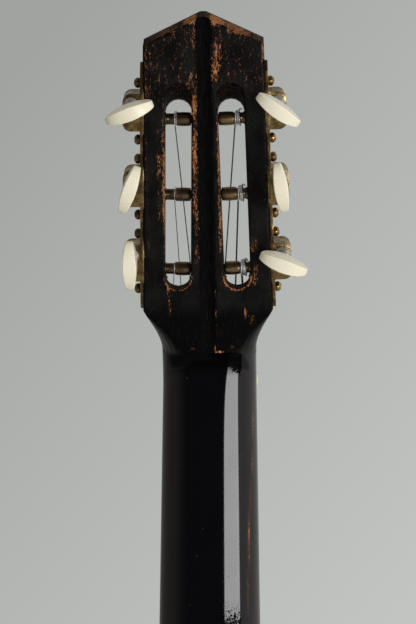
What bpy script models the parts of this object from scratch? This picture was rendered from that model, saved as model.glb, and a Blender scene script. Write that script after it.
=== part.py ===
"""A six-string guitar with an open, slotted head.

The guitar stands upright: +Z runs along the neck to the head, the soundboard faces -Y and the back
faces +Y. The origin is on the neck's centre line, in the plane of the soundboard, where the
fingerboard meets the nut. The treble side is +X, the bass side is -X.
"""

import math

import bmesh
import bpy
from mathutils import Matrix, Vector
from mathutils.geometry import interpolate_bezier

MM = 0.001
GAP = 0.3 * MM
# How far a cutter runs past the faces that it opens
OVER = 3 * MM

# Strings and neck
SCALE_LENGTH = 650 * MM
BODY_FRET = 12
FRET_COUNT = 19
NUT_WIDTH = 49.2 * MM
NUT_LENGTH = 5 * MM
NUT_ABOVE_BOARD = 3.4 * MM
NUT_SLOT_DEPTH = 0.8 * MM
NUT_SLOT_CLEARANCE = 0.35 * MM
NUT_EDGE = 0.4 * MM
NECK_TAPER = 0.031
NECK_DEPTH = 20.3 * MM
NECK_DEPTH_GAIN = 2 * MM
NECK_CROWN_FLAT = 9 * MM
NECK_SIDE_FLAT = 0.12
NECK_SMOOTH_FROM = -45 * MM
FINGERBOARD_THICK = 5.7 * MM
FINGERBOARD_END = 4 * MM
FRET_HEIGHT = 1.0 * MM
FRET_FOOT = 2.0 * MM
FRET_TOP = 1.0 * MM
STRING_DIAMETERS = {1: 0.36 * MM, 2: 0.42 * MM, 3: 0.55 * MM, 4: 0.7 * MM, 5: 0.85 * MM, 6: 1.05 * MM}
NUT_STRING_SPREAD = 40 * MM
SADDLE_STRING_SPREAD = 58 * MM

# Heel
HEEL_LENGTH = 64 * MM
HEEL_FOOT_LENGTH = 14 * MM
HEEL_LEVELS = (0, 0.35, 0.58, 0.75, 0.87, 0.95, 0.99, 1)
HEEL_DEPTH = 91 * MM
HEEL_FOOT_WIDTH = 19 * MM
HEEL_CAP_THICK = 2.6 * MM
HEEL_CAP_STRAIGHT = 3 * MM
HEEL_CAP_ROUND = 9.5 * MM
TENON_WIDTH = 18 * MM
TENON_LENGTH = 12 * MM
TENON_FRONT = 5 * MM
TENON_BACK = HEEL_DEPTH - 6 * MM

# Head
HEAD_TILT = math.radians(15)
HEAD_FOOT_Z = 2.5 * MM
# The head of this guitar leans a little to the treble side
HEAD_LEAN = math.radians(0.86)
HEAD_THICK = 16 * MM
VENEER_THICK = 1.4 * MM
HEAD_PEAK = 193.4 * MM
HEAD_CORNER = 179.1 * MM
HEAD_CORNER_HALF = 30.3 * MM
HEAD_SIDE_SLOPE = 0.0234
HEAD_EDGE_ROUND = 1.2 * MM
PEAK_BLUNT = 0.7 * MM
ROOF_LEAN = 0.07
FLARE_TOP = 41.7 * MM
FLARE_CURVE = 1.45
FLARE_ROUND_END = FLARE_TOP - 3 * MM
FLARE_ROUND_CURVE = 1.3
FLUTE_WIDTH = 7 * MM
FLUTE_DEPTH = 1.2 * MM
RAIL_WIDTH = 11.1 * MM
SLOT_WIDTH = 13.4 * MM
SLOT_BOTTOM = 53.1 * MM
SLOT_TOP_FRONT = 149.2 * MM
SLOT_TOP_BACK = 160 * MM
RAMP_FOOT = 28 * MM
RAMP_DEPTH = 6 * MM
RAMP_OVERLAP = 3 * MM

# Tuners, in a frame on the head's side: X outward, Y to the back, Z along the side
POST_ALONG = (62.7 * MM, 101.7 * MM, 140.7 * MM)
POST_DEPTH = HEAD_THICK / 2
PLATE_THICK = 1.2 * MM
PLATE_HALF_WIDTH = 7.9 * MM
PLATE_SCALLOP = 3 * MM
PLATE_EDGE_STEPS = 36
PLATE_END_LENGTH = 5 * MM
PLATE_TIP = ((2 * MM, 2.6 * MM), (0, 0.9 * MM))
PLATE_BELOW = 60.1 * MM
PLATE_ABOVE = 68 * MM
POST_BARREL_RADIUS = 3.55 * MM
POST_BARREL_END_RADIUS = 3.1 * MM
POST_BARREL_LENGTH = 7.9 * MM
POST_NECK_RADIUS = 2.75 * MM
POST_JOURNAL_RADIUS = 3.3 * MM
BORE_CLEARANCE = 0.5 * MM
POST_TIP_RADIUS = 2.2 * MM
POST_TIP_LENGTH = 4.1 * MM
POST_SQUARE = 3.2 * MM
RAIL_BORE_RADIUS = 3.9 * MM
TIP_BORE_RADIUS = 2.6 * MM
STRING_HOLE_RADIUS = 0.7 * MM
STRING_HOLE_INSET = 1.5 * MM
WORM_OUT = 5.8 * MM
WORM_ABOVE_POST = 8.4 * MM
WORM_CREST_RADIUS = 3.3 * MM
WORM_CORE_RADIUS = 1.95 * MM
WORM_HALF_LENGTH = 4.5 * MM
WORM_CREST_SHARE = 0.12
WORM_ROOT_SHARE = 0.31
GEAR_TEETH = 14
GEAR_PITCH_RADIUS = 5.55 * MM
GEAR_TIP_RADIUS = 6.15 * MM
GEAR_ROOT_RADIUS = 4.8 * MM
GEAR_TOOTH_TIP = 0.6 * MM
GEAR_TOOTH_ROOT = 1.4 * MM
GEAR_INNER = 4.4 * MM
GEAR_OUTER = 7.2 * MM
SHAFT_RADIUS = 1.9 * MM
SHAFT_TAIL = 8.2 * MM
LUG_INNER = 6.45 * MM
LUG_OUTER = 7.7 * MM
LUG_RADIUS = 4.4 * MM
LUG_RISE = 1.2 * MM
LUG_BELOW_POST = 5.2 * MM
LUG_CORNER = 4 * MM
COVER_INNER = 3.6 * MM
COVER_OUTER = 4.25 * MM
COLLAR_RADIUS = 3.9 * MM
COLLAR_LENGTH = 2 * MM
COLLAR_TAPER = 0.8 * MM
STEM_RADIUS = 2.3 * MM
TANG_RADIUS = 1.6 * MM
TANG_LENGTH = 8 * MM
BUTTON_FOOT = 21 * MM
BUTTON_HEIGHT = 16 * MM
BUTTON_LENGTH = 26.2 * MM
BUTTON_THICK = 8 * MM
BUTTON_FALL = (0.0215 / MM, 0.008 / MM)
BUTTON_RINGS = (0.25, 0.62, 1.0)
BUTTON_POINTS = 20
# How far each button is turned on its shaft, by string
BUTTON_TURNS = {1: 91.6, 2: 70.8, 3: 21.0, 4: -36.9, 5: -83.0, 6: -22.5}
WINDING_TURNS = 2.75
WINDING_POINTS = 10
WINDING_STEP = 1.25 * MM
WINDING_START = -15.6 * MM
WINDING_LIFT = 0.5 * MM

# Body
BODY_LENGTH = 482 * MM
BODY_DEPTH = 96 * MM
PLATE_WOOD = 2.5 * MM
RIB_THICK = 2.2 * MM
UPPER_BOUT = 280 * MM
WAIST = 234 * MM
LOWER_BOUT = 366 * MM
UPPER_BOUT_AT = 98 * MM
WAIST_AT = 188 * MM
LOWER_BOUT_AT = 350 * MM
SHOULDER_FLAT = 35 * MM
OUTLINE_STEPS = 7
SOUNDHOLE_AT = 153 * MM
SOUNDHOLE_RADIUS = 42.5 * MM
ROSETTE_INNER = 46 * MM
ROSETTE_OUTER = 57 * MM
ROSETTE_DEPTH = 1.2 * MM
LINING_WIDTH = 6 * MM
LINING_HEIGHT = 13 * MM
BLOCK_WIDTH = 62 * MM
NECK_BLOCK_LENGTH = 30 * MM
TAIL_BLOCK_LENGTH = 18 * MM
BAR_WIDTH = 6 * MM
BAR_HEIGHT = 15 * MM
BAR_END_HEIGHT = 5 * MM
BAR_ARCH_SHARE = 0.55
BAR_END_CLEARANCE = 2 * MM
TOP_BARS_AT = (92 * MM, 214 * MM)
BACK_BARS_AT = (75 * MM, 205 * MM, 350 * MM)
FAN_TOP_AT = 228 * MM
FAN_LENGTH = 200 * MM
FAN_SPLAY = math.radians(11)
FAN_SPREAD = 34 * MM
FAN_HEIGHT = 5 * MM
FAN_END_HEIGHT = 2 * MM

# Bridge
BRIDGE_LENGTH = 188 * MM
BRIDGE_CENTRE = 84 * MM
BRIDGE_ABOVE_SADDLE = 9 * MM
BRIDGE_BELOW_SADDLE = 19 * MM
TIE_BLOCK_LENGTH = 11 * MM
BRIDGE_HEIGHT = 9 * MM
SADDLE_WALL = 3 * MM
SADDLE_WALL_HEIGHT = 7.5 * MM
SADDLE_BACK_HEIGHT = 6.5 * MM
BRIDGE_SLOPE = 4 * MM
BRIDGE_EDGE = 1.5 * MM
WING_OVERLAP = 2 * MM
TIE_CHANNEL_HEIGHT = 4 * MM
WING_HEIGHT = 4.6 * MM
WING_TIP_HEIGHT = 3 * MM
STRING_BORE_RADIUS = 1.2 * MM
STRING_BORE_HEIGHT = 5.2 * MM
STRING_END = 2 * MM
SADDLE_LENGTH = 78 * MM
SADDLE_THICK = 2.4 * MM
SADDLE_TOP = 11 * MM
SADDLE_SEAT = 4.6 * MM

BODY_TOP = -SCALE_LENGTH * (1 - 2 ** (-BODY_FRET / 12))
BODY_TAIL = BODY_TOP - BODY_LENGTH
TREBLE, BASS = 1, -1
TUNERS = {1: (TREBLE, 0), 2: (TREBLE, 1), 3: (TREBLE, 2), 4: (BASS, 2), 5: (BASS, 1), 6: (BASS, 0)}

MATERIALS = {
    "black_lacquer": ((0.012, 0.011, 0.012), 0.28, 0.0),
    "brass": ((0.36, 0.26, 0.12), 0.38, 1.0),
    "steel": ((0.42, 0.42, 0.40), 0.35, 1.0),
    "ivoroid": ((0.86, 0.83, 0.72), 0.35, 0.0),
    "bone": ((0.85, 0.80, 0.68), 0.4, 0.0),
    "ebony": ((0.02, 0.016, 0.014), 0.42, 0.0),
    "spruce": ((0.55, 0.33, 0.14), 0.4, 0.0),
    "rosewood": ((0.09, 0.04, 0.025), 0.4, 0.0),
    "cedar": ((0.32, 0.17, 0.08), 0.6, 0.0),
    "string_wire": ((0.5, 0.5, 0.5), 0.3, 1.0),
}


def clear_scene():
    for obj in list(bpy.data.objects):
        bpy.data.objects.remove(obj, do_unlink=True)


def material(name):
    found = bpy.data.materials.get(name)
    if found:
        return found
    colour, roughness, metallic = MATERIALS[name]
    made = bpy.data.materials.new(name)
    made.use_nodes = True
    shader = made.node_tree.nodes["Principled BSDF"]
    shader.inputs["Base Color"].default_value = (*colour, 1)
    shader.inputs["Roughness"].default_value = roughness
    shader.inputs["Metallic"].default_value = metallic
    return made


# Shared mesh helpers


def loft(rings, closed=False):
    """A solid through rings of equal point counts, capped at its ends or joined into a loop."""
    bm = bmesh.new()
    rows = [[bm.verts.new(point) for point in ring] for ring in rings]
    pairs = list(zip(rows, rows[1:]))
    if closed:
        pairs.append((rows[-1], rows[0]))
    count = len(rows[0])
    for low, high in pairs:
        for i in range(count):
            j = (i + 1) % count
            bm.faces.new((low[i], low[j], high[j], high[i]))
    if not closed:
        bm.faces.new(rows[0])
        bm.faces.new(rows[-1])
    bmesh.ops.recalc_face_normals(bm, faces=bm.faces)
    return bm


def prism(outline, shift):
    """A flat outline pushed along a vector."""
    return loft([outline, [Vector(point) + Vector(shift) for point in outline]])


def turned(profile, segments, axis="X"):
    """A body of revolution from (position, radius) pairs along an axis of its own frame."""
    rings = []
    for place, radius in profile:
        ring = []
        for i in range(segments):
            angle = 2 * math.pi * i / segments
            across, up = radius * math.cos(angle), radius * math.sin(angle)
            ring.append((place, across, up) if axis == "X" else (across, place, up))
        rings.append(ring)
    return loft(rings)


def box(low, high):
    outline = [(low[0], low[1], low[2]), (high[0], low[1], low[2])]
    outline += [(high[0], high[1], low[2]), (low[0], high[1], low[2])]
    return prism(outline, (0, 0, high[2] - low[2]))


def slice_off(bm, point, normal):
    """Takes away what lies beyond a plane and closes the cut."""
    everything = bm.verts[:] + bm.edges[:] + bm.faces[:]
    cut = bmesh.ops.bisect_plane(
        bm, geom=everything, dist=1e-7, plane_co=point, plane_no=normal, clear_outer=True
    )
    rim = [item for item in cut["geom_cut"] if isinstance(item, bmesh.types.BMEdge)]
    bmesh.ops.holes_fill(bm, edges=rim, sides=0)
    bmesh.ops.recalc_face_normals(bm, faces=bm.faces)


def joined(*parts):
    """Several separate bodies in one mesh, for use as a cutter."""
    whole = bmesh.new()
    for bm in parts:
        mesh = bpy.data.meshes.new("joined")
        bm.to_mesh(mesh)
        bm.free()
        whole.from_mesh(mesh)
        bpy.data.meshes.remove(mesh)
    return whole


def flip_z(bm):
    bmesh.ops.scale(bm, vec=(1, 1, -1), verts=bm.verts)
    bmesh.ops.reverse_faces(bm, faces=bm.faces)


def add_object(name, bm, finish, matrix=None, parent=None, smooth=True):
    mesh = bpy.data.meshes.new(name)
    bm.to_mesh(mesh)
    bm.free()
    obj = bpy.data.objects.new(name, mesh)
    bpy.context.scene.collection.objects.link(obj)
    if finish:
        mesh.materials.append(material(finish))
    if smooth:
        mesh.shade_smooth()
        mesh.set_sharp_from_angle(angle=math.radians(35))
    if matrix:
        obj.matrix_world = matrix
    if parent:
        obj.parent = parent
    return obj


def helper(name, bm, matrix=None):
    """A cutter or an added lump: it shapes another object and is no piece itself."""
    obj = add_object(name, bm, None, matrix=matrix, smooth=False)
    obj.hide_render = True
    obj.display_type = "WIRE"
    return obj


def boolean(obj, other, operation):
    modifier = obj.modifiers.new(f"{operation.lower()}_{other.name}", "BOOLEAN")
    modifier.operation = operation
    modifier.solver = "EXACT"
    modifier.object = other


def cut(obj, other):
    boolean(obj, other, "DIFFERENCE")


def fuse(obj, other):
    boolean(obj, other, "UNION")


# Places on the head

HEAD_FRAME = Matrix.Translation((0, 0, HEAD_FOOT_Z)) @ Matrix.Rotation(-HEAD_TILT, 4, "X")
HEAD_FRAME = HEAD_FRAME @ Matrix.Rotation(HEAD_LEAN, 4, "Y")
SIDE_ANGLE = math.atan(HEAD_SIDE_SLOPE)


def side_half(along):
    """Half the head's width at a distance along it, above the flare."""
    return HEAD_CORNER_HALF + (HEAD_CORNER - along) * HEAD_SIDE_SLOPE


def joint_line():
    """Distance along the head's back where the head meets the neck's back."""
    return (NECK_DEPTH - HEAD_THICK * math.cos(HEAD_TILT)) / math.sin(HEAD_TILT)


def head_half(along):
    """Half the head's width, flare included."""
    flare_foot = joint_line()
    if along >= FLARE_TOP:
        return side_half(along)
    share = max(0.0, (along - flare_foot) / (FLARE_TOP - flare_foot))
    return NUT_WIDTH / 2 + (side_half(FLARE_TOP) - NUT_WIDTH / 2) * share**FLARE_CURVE


def side_frame(side, along):
    """Frame on the side of the head: X outward, Y to the back, Z up the treble side, down the bass side."""
    outward = Vector((side * math.cos(SIDE_ANGLE), 0, math.sin(SIDE_ANGLE)))
    back = Vector((0, 1, 0))
    rows = Matrix((outward, back, outward.cross(back))).transposed().to_4x4()
    place = Matrix.Translation((side * side_half(along), POST_DEPTH, along))
    return HEAD_FRAME @ place @ rows


def arch(half, depth, flat, side_flat, front, steps=6):
    """Outline of a neck or head section: straight sides, round corners, a flat of its own width."""
    outline = [(half, front)]
    for i in range(steps + 1):
        angle = math.pi / 2 * i / steps
        x = flat + (half - flat) * math.cos(angle)
        y = side_flat + (depth - side_flat) * math.sin(angle)
        outline.append((x, y))
    return outline + [(-x, y) for x, y in reversed(outline)]


# Head, neck and what sits on them


def head_section(along):
    share = (along - joint_line()) / (FLARE_ROUND_END - joint_line())
    share = min(1.0, max(0.0, share)) ** FLARE_ROUND_CURVE
    half = head_half(along)
    flat = NECK_CROWN_FLAT + (half - HEAD_EDGE_ROUND - NECK_CROWN_FLAT) * share
    low = NECK_SIDE_FLAT * HEAD_THICK
    side_flat = low + (HEAD_THICK - HEAD_EDGE_ROUND - low) * share
    front = VENEER_THICK + GAP
    return [(x, y, along) for x, y in arch(half, HEAD_THICK, flat, side_flat, front)]


def mitre():
    """The plane between head and neck in the world frame: a point, and a normal towards the head."""
    back = HEAD_FRAME @ Vector((0, HEAD_THICK, joint_line()))
    front = Vector((0, 0, HEAD_FOOT_Z))
    run = back - front
    return front, Vector((0, -run.z, run.y)).normalized()


def roof_cuts(bm):
    """The two slopes of the head's end: they lean back, so the front edge is the higher one."""
    slope = math.atan2(HEAD_PEAK - HEAD_CORNER, HEAD_CORNER_HALF)
    for side in (TREBLE, BASS):
        normal = Vector((side * math.sin(slope), ROOF_LEAN * math.cos(slope), math.cos(slope)))
        slice_off(bm, (0, HEAD_THICK, HEAD_PEAK), normal.normalized())
    slice_off(bm, (0, HEAD_THICK, HEAD_PEAK - PEAK_BLUNT), Vector((0, ROOF_LEAN, 1)).normalized())


def mitre_cut(bm, gap):
    """Trims a piece of the head, in the head's frame, where the neck begins."""
    point, normal = mitre()
    back_to_head = HEAD_FRAME.inverted()
    point = back_to_head @ (point + normal * gap)
    slice_off(bm, point, back_to_head.to_3x3() @ -normal)


def stadium(width, low, high, front, steps=8):
    """Slot outline at one depth, in the side frame of the middle post."""
    centre = -RAIL_WIDTH - SLOT_WIDTH / 2
    radius = width / 2
    outline = []
    for i in range(steps + 1):
        angle = math.pi * i / steps
        outline.append((centre + radius * math.cos(angle), front, high - radius + radius * math.sin(angle)))
    for i in range(steps + 1):
        angle = math.pi + math.pi * i / steps
        outline.append((centre + radius * math.cos(angle), front, low + radius + radius * math.sin(angle)))
    return outline


def slot_cutter():
    """One slot: its upper end slants, so the slot is longer on the back than on the front."""
    middle = POST_ALONG[1]
    low = SLOT_BOTTOM - middle
    lean = (SLOT_TOP_BACK - SLOT_TOP_FRONT) / HEAD_THICK
    rings = []
    for depth in (-OVER, HEAD_THICK + OVER):
        high = SLOT_TOP_FRONT + lean * depth - middle
        rings.append(stadium(SLOT_WIDTH, low, high, depth - POST_DEPTH))
    return loft(rings)


def ramp_cutter():
    """The wedge in front of a slot through which the strings run down to the posts."""
    middle = POST_ALONG[1]
    outer, inner = -RAIL_WIDTH - GAP, -RAIL_WIDTH - SLOT_WIDTH + GAP
    foot, head = RAMP_FOOT - middle, SLOT_BOTTOM + RAMP_OVERLAP - middle
    front = -POST_DEPTH
    wedge = [(outer, front - OVER, foot), (outer, front - OVER, head)]
    wedge += [(outer, front + RAMP_DEPTH, head), (outer, front, foot)]
    return prism(wedge, (inner - outer, 0, 0))


def bore_cutters():
    """Bores for the three posts of one side, in the side frame of the middle post."""
    bores = []
    inner_wall = -RAIL_WIDTH - SLOT_WIDTH
    for along in POST_ALONG:
        for low, high, radius in (
            (-RAIL_WIDTH - OVER, OVER, RAIL_BORE_RADIUS),
            (inner_wall - POST_TIP_LENGTH - GAP, inner_wall + OVER, TIP_BORE_RADIUS),
        ):
            bore = turned([(low, radius), (high, radius)], 10)
            bmesh.ops.translate(bore, vec=(0, 0, along - POST_ALONG[1]), verts=bore.verts)
            bores.append(bore)
    return joined(*bores)


def side_helpers(name, make):
    """A cutter for each side of the head."""
    made = []
    for side, word in ((TREBLE, "treble"), (BASS, "bass")):
        bm = make()
        if side == BASS:
            flip_z(bm)
        made.append(helper(f"{name}_{word}", bm, side_frame(side, POST_ALONG[1])))
    return made


def make_head():
    foot = joint_line()
    levels = [-OVER, foot]
    levels += [foot + (FLARE_TOP - foot) * i / 8 for i in range(1, 9)]
    levels.append(HEAD_PEAK + OVER)
    bm = loft([head_section(along) for along in levels])
    roof_cuts(bm)
    mitre_cut(bm, GAP / 2)
    head = add_object("head", bm, "black_lacquer", HEAD_FRAME)

    outline = [(-head_half(along), 0, along) for along in levels[1:-1]]
    outline = [(-NUT_WIDTH / 2, 0, -OVER)] + outline + [(-side_half(HEAD_PEAK), 0, HEAD_PEAK + OVER)]
    outline += [(-x, y, z) for x, y, z in reversed(outline)]
    bm = prism(outline, (0, VENEER_THICK, 0))
    roof_cuts(bm)
    mitre_cut(bm, GAP)
    veneer = add_object("head_veneer", bm, "ebony", HEAD_FRAME)

    for cutter in side_helpers("slot_cutter", slot_cutter) + side_helpers("ramp_cutter", ramp_cutter):
        cut(head, cutter)
        cut(veneer, cutter)
    for cutter in side_helpers("bore_cutter", bore_cutters):
        cut(head, cutter)
    radius = (FLUTE_WIDTH**2 / 4 + FLUTE_DEPTH**2) / (2 * FLUTE_DEPTH)
    axis_depth = HEAD_THICK + radius - FLUTE_DEPTH
    flute = turned([(foot + GAP, radius), (HEAD_PEAK + OVER, radius)], 30)
    turn = Matrix.Translation((0, axis_depth, 0)) @ Matrix.Rotation(-math.pi / 2, 4, "Y")
    cut(head, helper("flute_cutter", flute, HEAD_FRAME @ turn))


def neck_half(z):
    return NUT_WIDTH / 2 - min(z, 0) * NECK_TAPER / 2


def neck_section(z):
    smooth = min(1.0, max(0.0, z / NECK_SMOOTH_FROM))
    depth = NECK_DEPTH + NECK_DEPTH_GAIN * min(1.0, max(0.0, z / BODY_TOP))
    heel = (BODY_TOP + HEEL_LENGTH - z) / (HEEL_LENGTH - HEEL_FOOT_LENGTH)
    heel = min(1.0, max(0.0, heel))
    depth += (HEEL_DEPTH - depth) * (1 - math.sqrt(1 - heel**2))
    flat = NECK_CROWN_FLAT * (1 - smooth) + HEEL_FOOT_WIDTH / 2 * max(0.0, 2 * heel - 1)
    side_flat = NECK_SIDE_FLAT * NECK_DEPTH
    return [(x, y, z) for x, y in arch(neck_half(z), depth, flat, side_flat, 0)]


def make_neck():
    point, normal = mitre()
    heel_end = BODY_TOP + GAP
    over_head = HEAD_FOOT_Z + NECK_DEPTH
    levels = [over_head, 0, NECK_SMOOTH_FROM / 3, NECK_SMOOTH_FROM * 2 / 3, NECK_SMOOTH_FROM]
    curve = HEEL_LENGTH - HEEL_FOOT_LENGTH
    levels += [BODY_TOP + HEEL_LENGTH - curve * share for share in HEEL_LEVELS]
    levels.append(heel_end)
    bm = loft([neck_section(z) for z in levels])
    slice_off(bm, point - normal * GAP / 2, normal)
    neck = add_object("neck", bm, "black_lacquer")
    tenon = box(
        (-TENON_WIDTH / 2, TENON_FRONT, BODY_TOP - TENON_LENGTH),
        (TENON_WIDTH / 2, TENON_BACK, heel_end + OVER),
    )
    fuse(neck, helper("tenon", tenon))

    half = HEEL_FOOT_WIDTH / 2
    rest = HEEL_DEPTH + GAP
    cap = [(-half, rest, heel_end), (half, rest, heel_end)]
    for i in range(7):
        angle = math.pi * i / 6
        rise = HEEL_CAP_STRAIGHT + HEEL_CAP_ROUND * math.sin(angle)
        cap.append((half * math.cos(angle), rest, heel_end + rise))
    add_object("heel_cap", prism(cap, (0, HEEL_CAP_THICK, 0)), "ebony", smooth=False)


def fret_z(number):
    return -SCALE_LENGTH * (1 - 2 ** (-number / 12))


def make_fingerboard():
    """The fingerboard with its frets, as one side profile spread to the neck's tapered width."""
    top = -GAP - FINGERBOARD_THICK
    end = fret_z(FRET_COUNT) - FINGERBOARD_END
    profile = [(-GAP, -GAP), (-GAP, top)]
    for number in range(1, FRET_COUNT + 1):
        z = fret_z(number)
        profile += [(z + FRET_FOOT / 2, top), (z + FRET_TOP / 2, top - FRET_HEIGHT)]
        profile += [(z - FRET_TOP / 2, top - FRET_HEIGHT), (z - FRET_FOOT / 2, top)]
    profile += [(end, top), (end, -GAP)]
    sides = [[(side * neck_half(z), y, z) for z, y in profile] for side in (BASS, TREBLE)]
    add_object("fingerboard", loft(sides), "ebony", smooth=False)


def string_x(number, spread):
    """Across place of a string: number 1 is outermost on the treble side."""
    return spread * (3.5 - number) / 5


NUT_TOP = -GAP - FINGERBOARD_THICK - NUT_ABOVE_BOARD
NUT_SLOT_FLOOR = NUT_TOP + NUT_SLOT_DEPTH


def nut_string_y(number):
    return NUT_SLOT_FLOOR - GAP - STRING_DIAMETERS[number] / 2


def make_nut():
    half = NUT_WIDTH / 2
    outline = [(half, -GAP, 0), (half, NUT_TOP, 0)]
    for number in range(1, 7):
        x = string_x(number, NUT_STRING_SPREAD)
        notch = STRING_DIAMETERS[number] / 2 + NUT_SLOT_CLEARANCE
        outline += [(x + notch, NUT_TOP, 0), (x + notch, NUT_SLOT_FLOOR, 0)]
        outline += [(x - notch, NUT_SLOT_FLOOR, 0), (x - notch, NUT_TOP, 0)]
    outline += [(-half, NUT_TOP, 0), (-half, -GAP, 0)]
    add_object("nut", prism(outline, (0, 0, NUT_LENGTH)), "bone", smooth=False)


# Tuners


def plate_half(z):
    """Edge of the strip: straight beside each bracket, scalloped in between them."""
    step = POST_ALONG[1] - POST_ALONG[0]
    middle = (WORM_ABOVE_POST + LUG_RISE + LUG_RADIUS - LUG_BELOW_POST) / 2
    return PLATE_HALF_WIDTH - PLATE_SCALLOP * max(0.0, -math.cos(2 * math.pi * (z - middle) / step))


def plate_body():
    """The strip on one side of the head, in the side frame of the middle post."""
    edge = []
    low, high = -PLATE_BELOW + PLATE_END_LENGTH, PLATE_ABOVE - PLATE_END_LENGTH
    for i in range(PLATE_EDGE_STEPS + 1):
        z = low + (high - low) * i / PLATE_EDGE_STEPS
        edge.append((GAP, plate_half(z), z))
    tip = [(GAP, half, PLATE_ABOVE - back) for back, half in PLATE_TIP]
    toe = [(GAP, half, -PLATE_BELOW + back) for back, half in reversed(PLATE_TIP)]
    edge = toe + edge + tip
    outline = edge + [(x, -y, z) for x, y, z in reversed(edge)]
    return prism(outline, (PLATE_THICK, 0, 0))


def quarter(centre, radius, start, steps=5):
    """A quarter turn in the X-Z plane, from an angle given in quarter turns."""
    angles = [math.pi / 2 * (start + i / steps) for i in range(steps + 1)]
    return [(centre[0] + radius * math.cos(a), centre[1] + radius * math.sin(a)) for a in angles]


def lug(post_z, low, high):
    """One ear of a bracket: a tall cheek on the plate, beside gear and worm, that carries the shaft."""
    foot, end = GAP + PLATE_THICK / 2, WORM_OUT + LUG_RADIUS
    bottom, top = post_z - LUG_BELOW_POST, post_z + WORM_ABOVE_POST + LUG_RISE
    outline = [(foot, bottom)]
    outline += quarter((end - LUG_CORNER, bottom + LUG_CORNER), LUG_CORNER, -1)
    outline += quarter((WORM_OUT, top), LUG_RADIUS, 0)
    outline.append((foot, top + LUG_RADIUS))
    return prism([(x, low, z) for x, z in outline], (0, high - low, 0))


def cover(post_z):
    """The bent strap over the worm, from the plate to the outer side, joining both ears."""
    foot, top = GAP + PLATE_THICK / 2, post_z + WORM_ABOVE_POST + LUG_RISE
    outline = quarter((WORM_OUT, top), COVER_OUTER, 0)
    outline += [(foot, top + COVER_OUTER), (foot, top + COVER_INNER)]
    outline += reversed(quarter((WORM_OUT, top), COVER_INNER, 0))
    reach = (LUG_INNER + LUG_OUTER) / 2
    return prism([(x, -reach, z) for x, z in outline], (0, 2 * reach, 0))


def make_plates():
    for side, word in ((TREBLE, "treble"), (BASS, "bass")):
        frame = side_frame(side, POST_ALONG[1])
        lugs, covers, bores = [], [], []
        for along in POST_ALONG:
            z = along - POST_ALONG[1]
            worm_z = z + WORM_ABOVE_POST
            lugs.append(lug(z, LUG_INNER, LUG_OUTER))
            lugs.append(lug(z, -LUG_OUTER, -LUG_INNER))
            covers.append(cover(z))
            post_bore = POST_JOURNAL_RADIUS + BORE_CLEARANCE
            post = turned([(-OVER, post_bore), (OVER, post_bore)], 10)
            bmesh.ops.translate(post, vec=(0, 0, z), verts=post.verts)
            worm_bore, reach = SHAFT_RADIUS + BORE_CLEARANCE, LUG_OUTER + OVER
            worm = turned([(-reach, worm_bore), (reach, worm_bore)], 10, axis="Y")
            bmesh.ops.translate(worm, vec=(WORM_OUT, 0, worm_z), verts=worm.verts)
            bores += [post, worm]
        parts = [plate_body(), joined(*lugs), joined(*covers), joined(*bores)]
        if side == BASS:
            for bm in parts:
                flip_z(bm)
        plate = add_object(f"tuner_plate_{word}", parts[0], "brass", frame)
        fuse(plate, helper(f"worm_lugs_{word}", parts[1], frame))
        fuse(plate, helper(f"worm_covers_{word}", parts[2], frame))
        cut(plate, helper(f"plate_bores_{word}", parts[3], frame))


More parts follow.
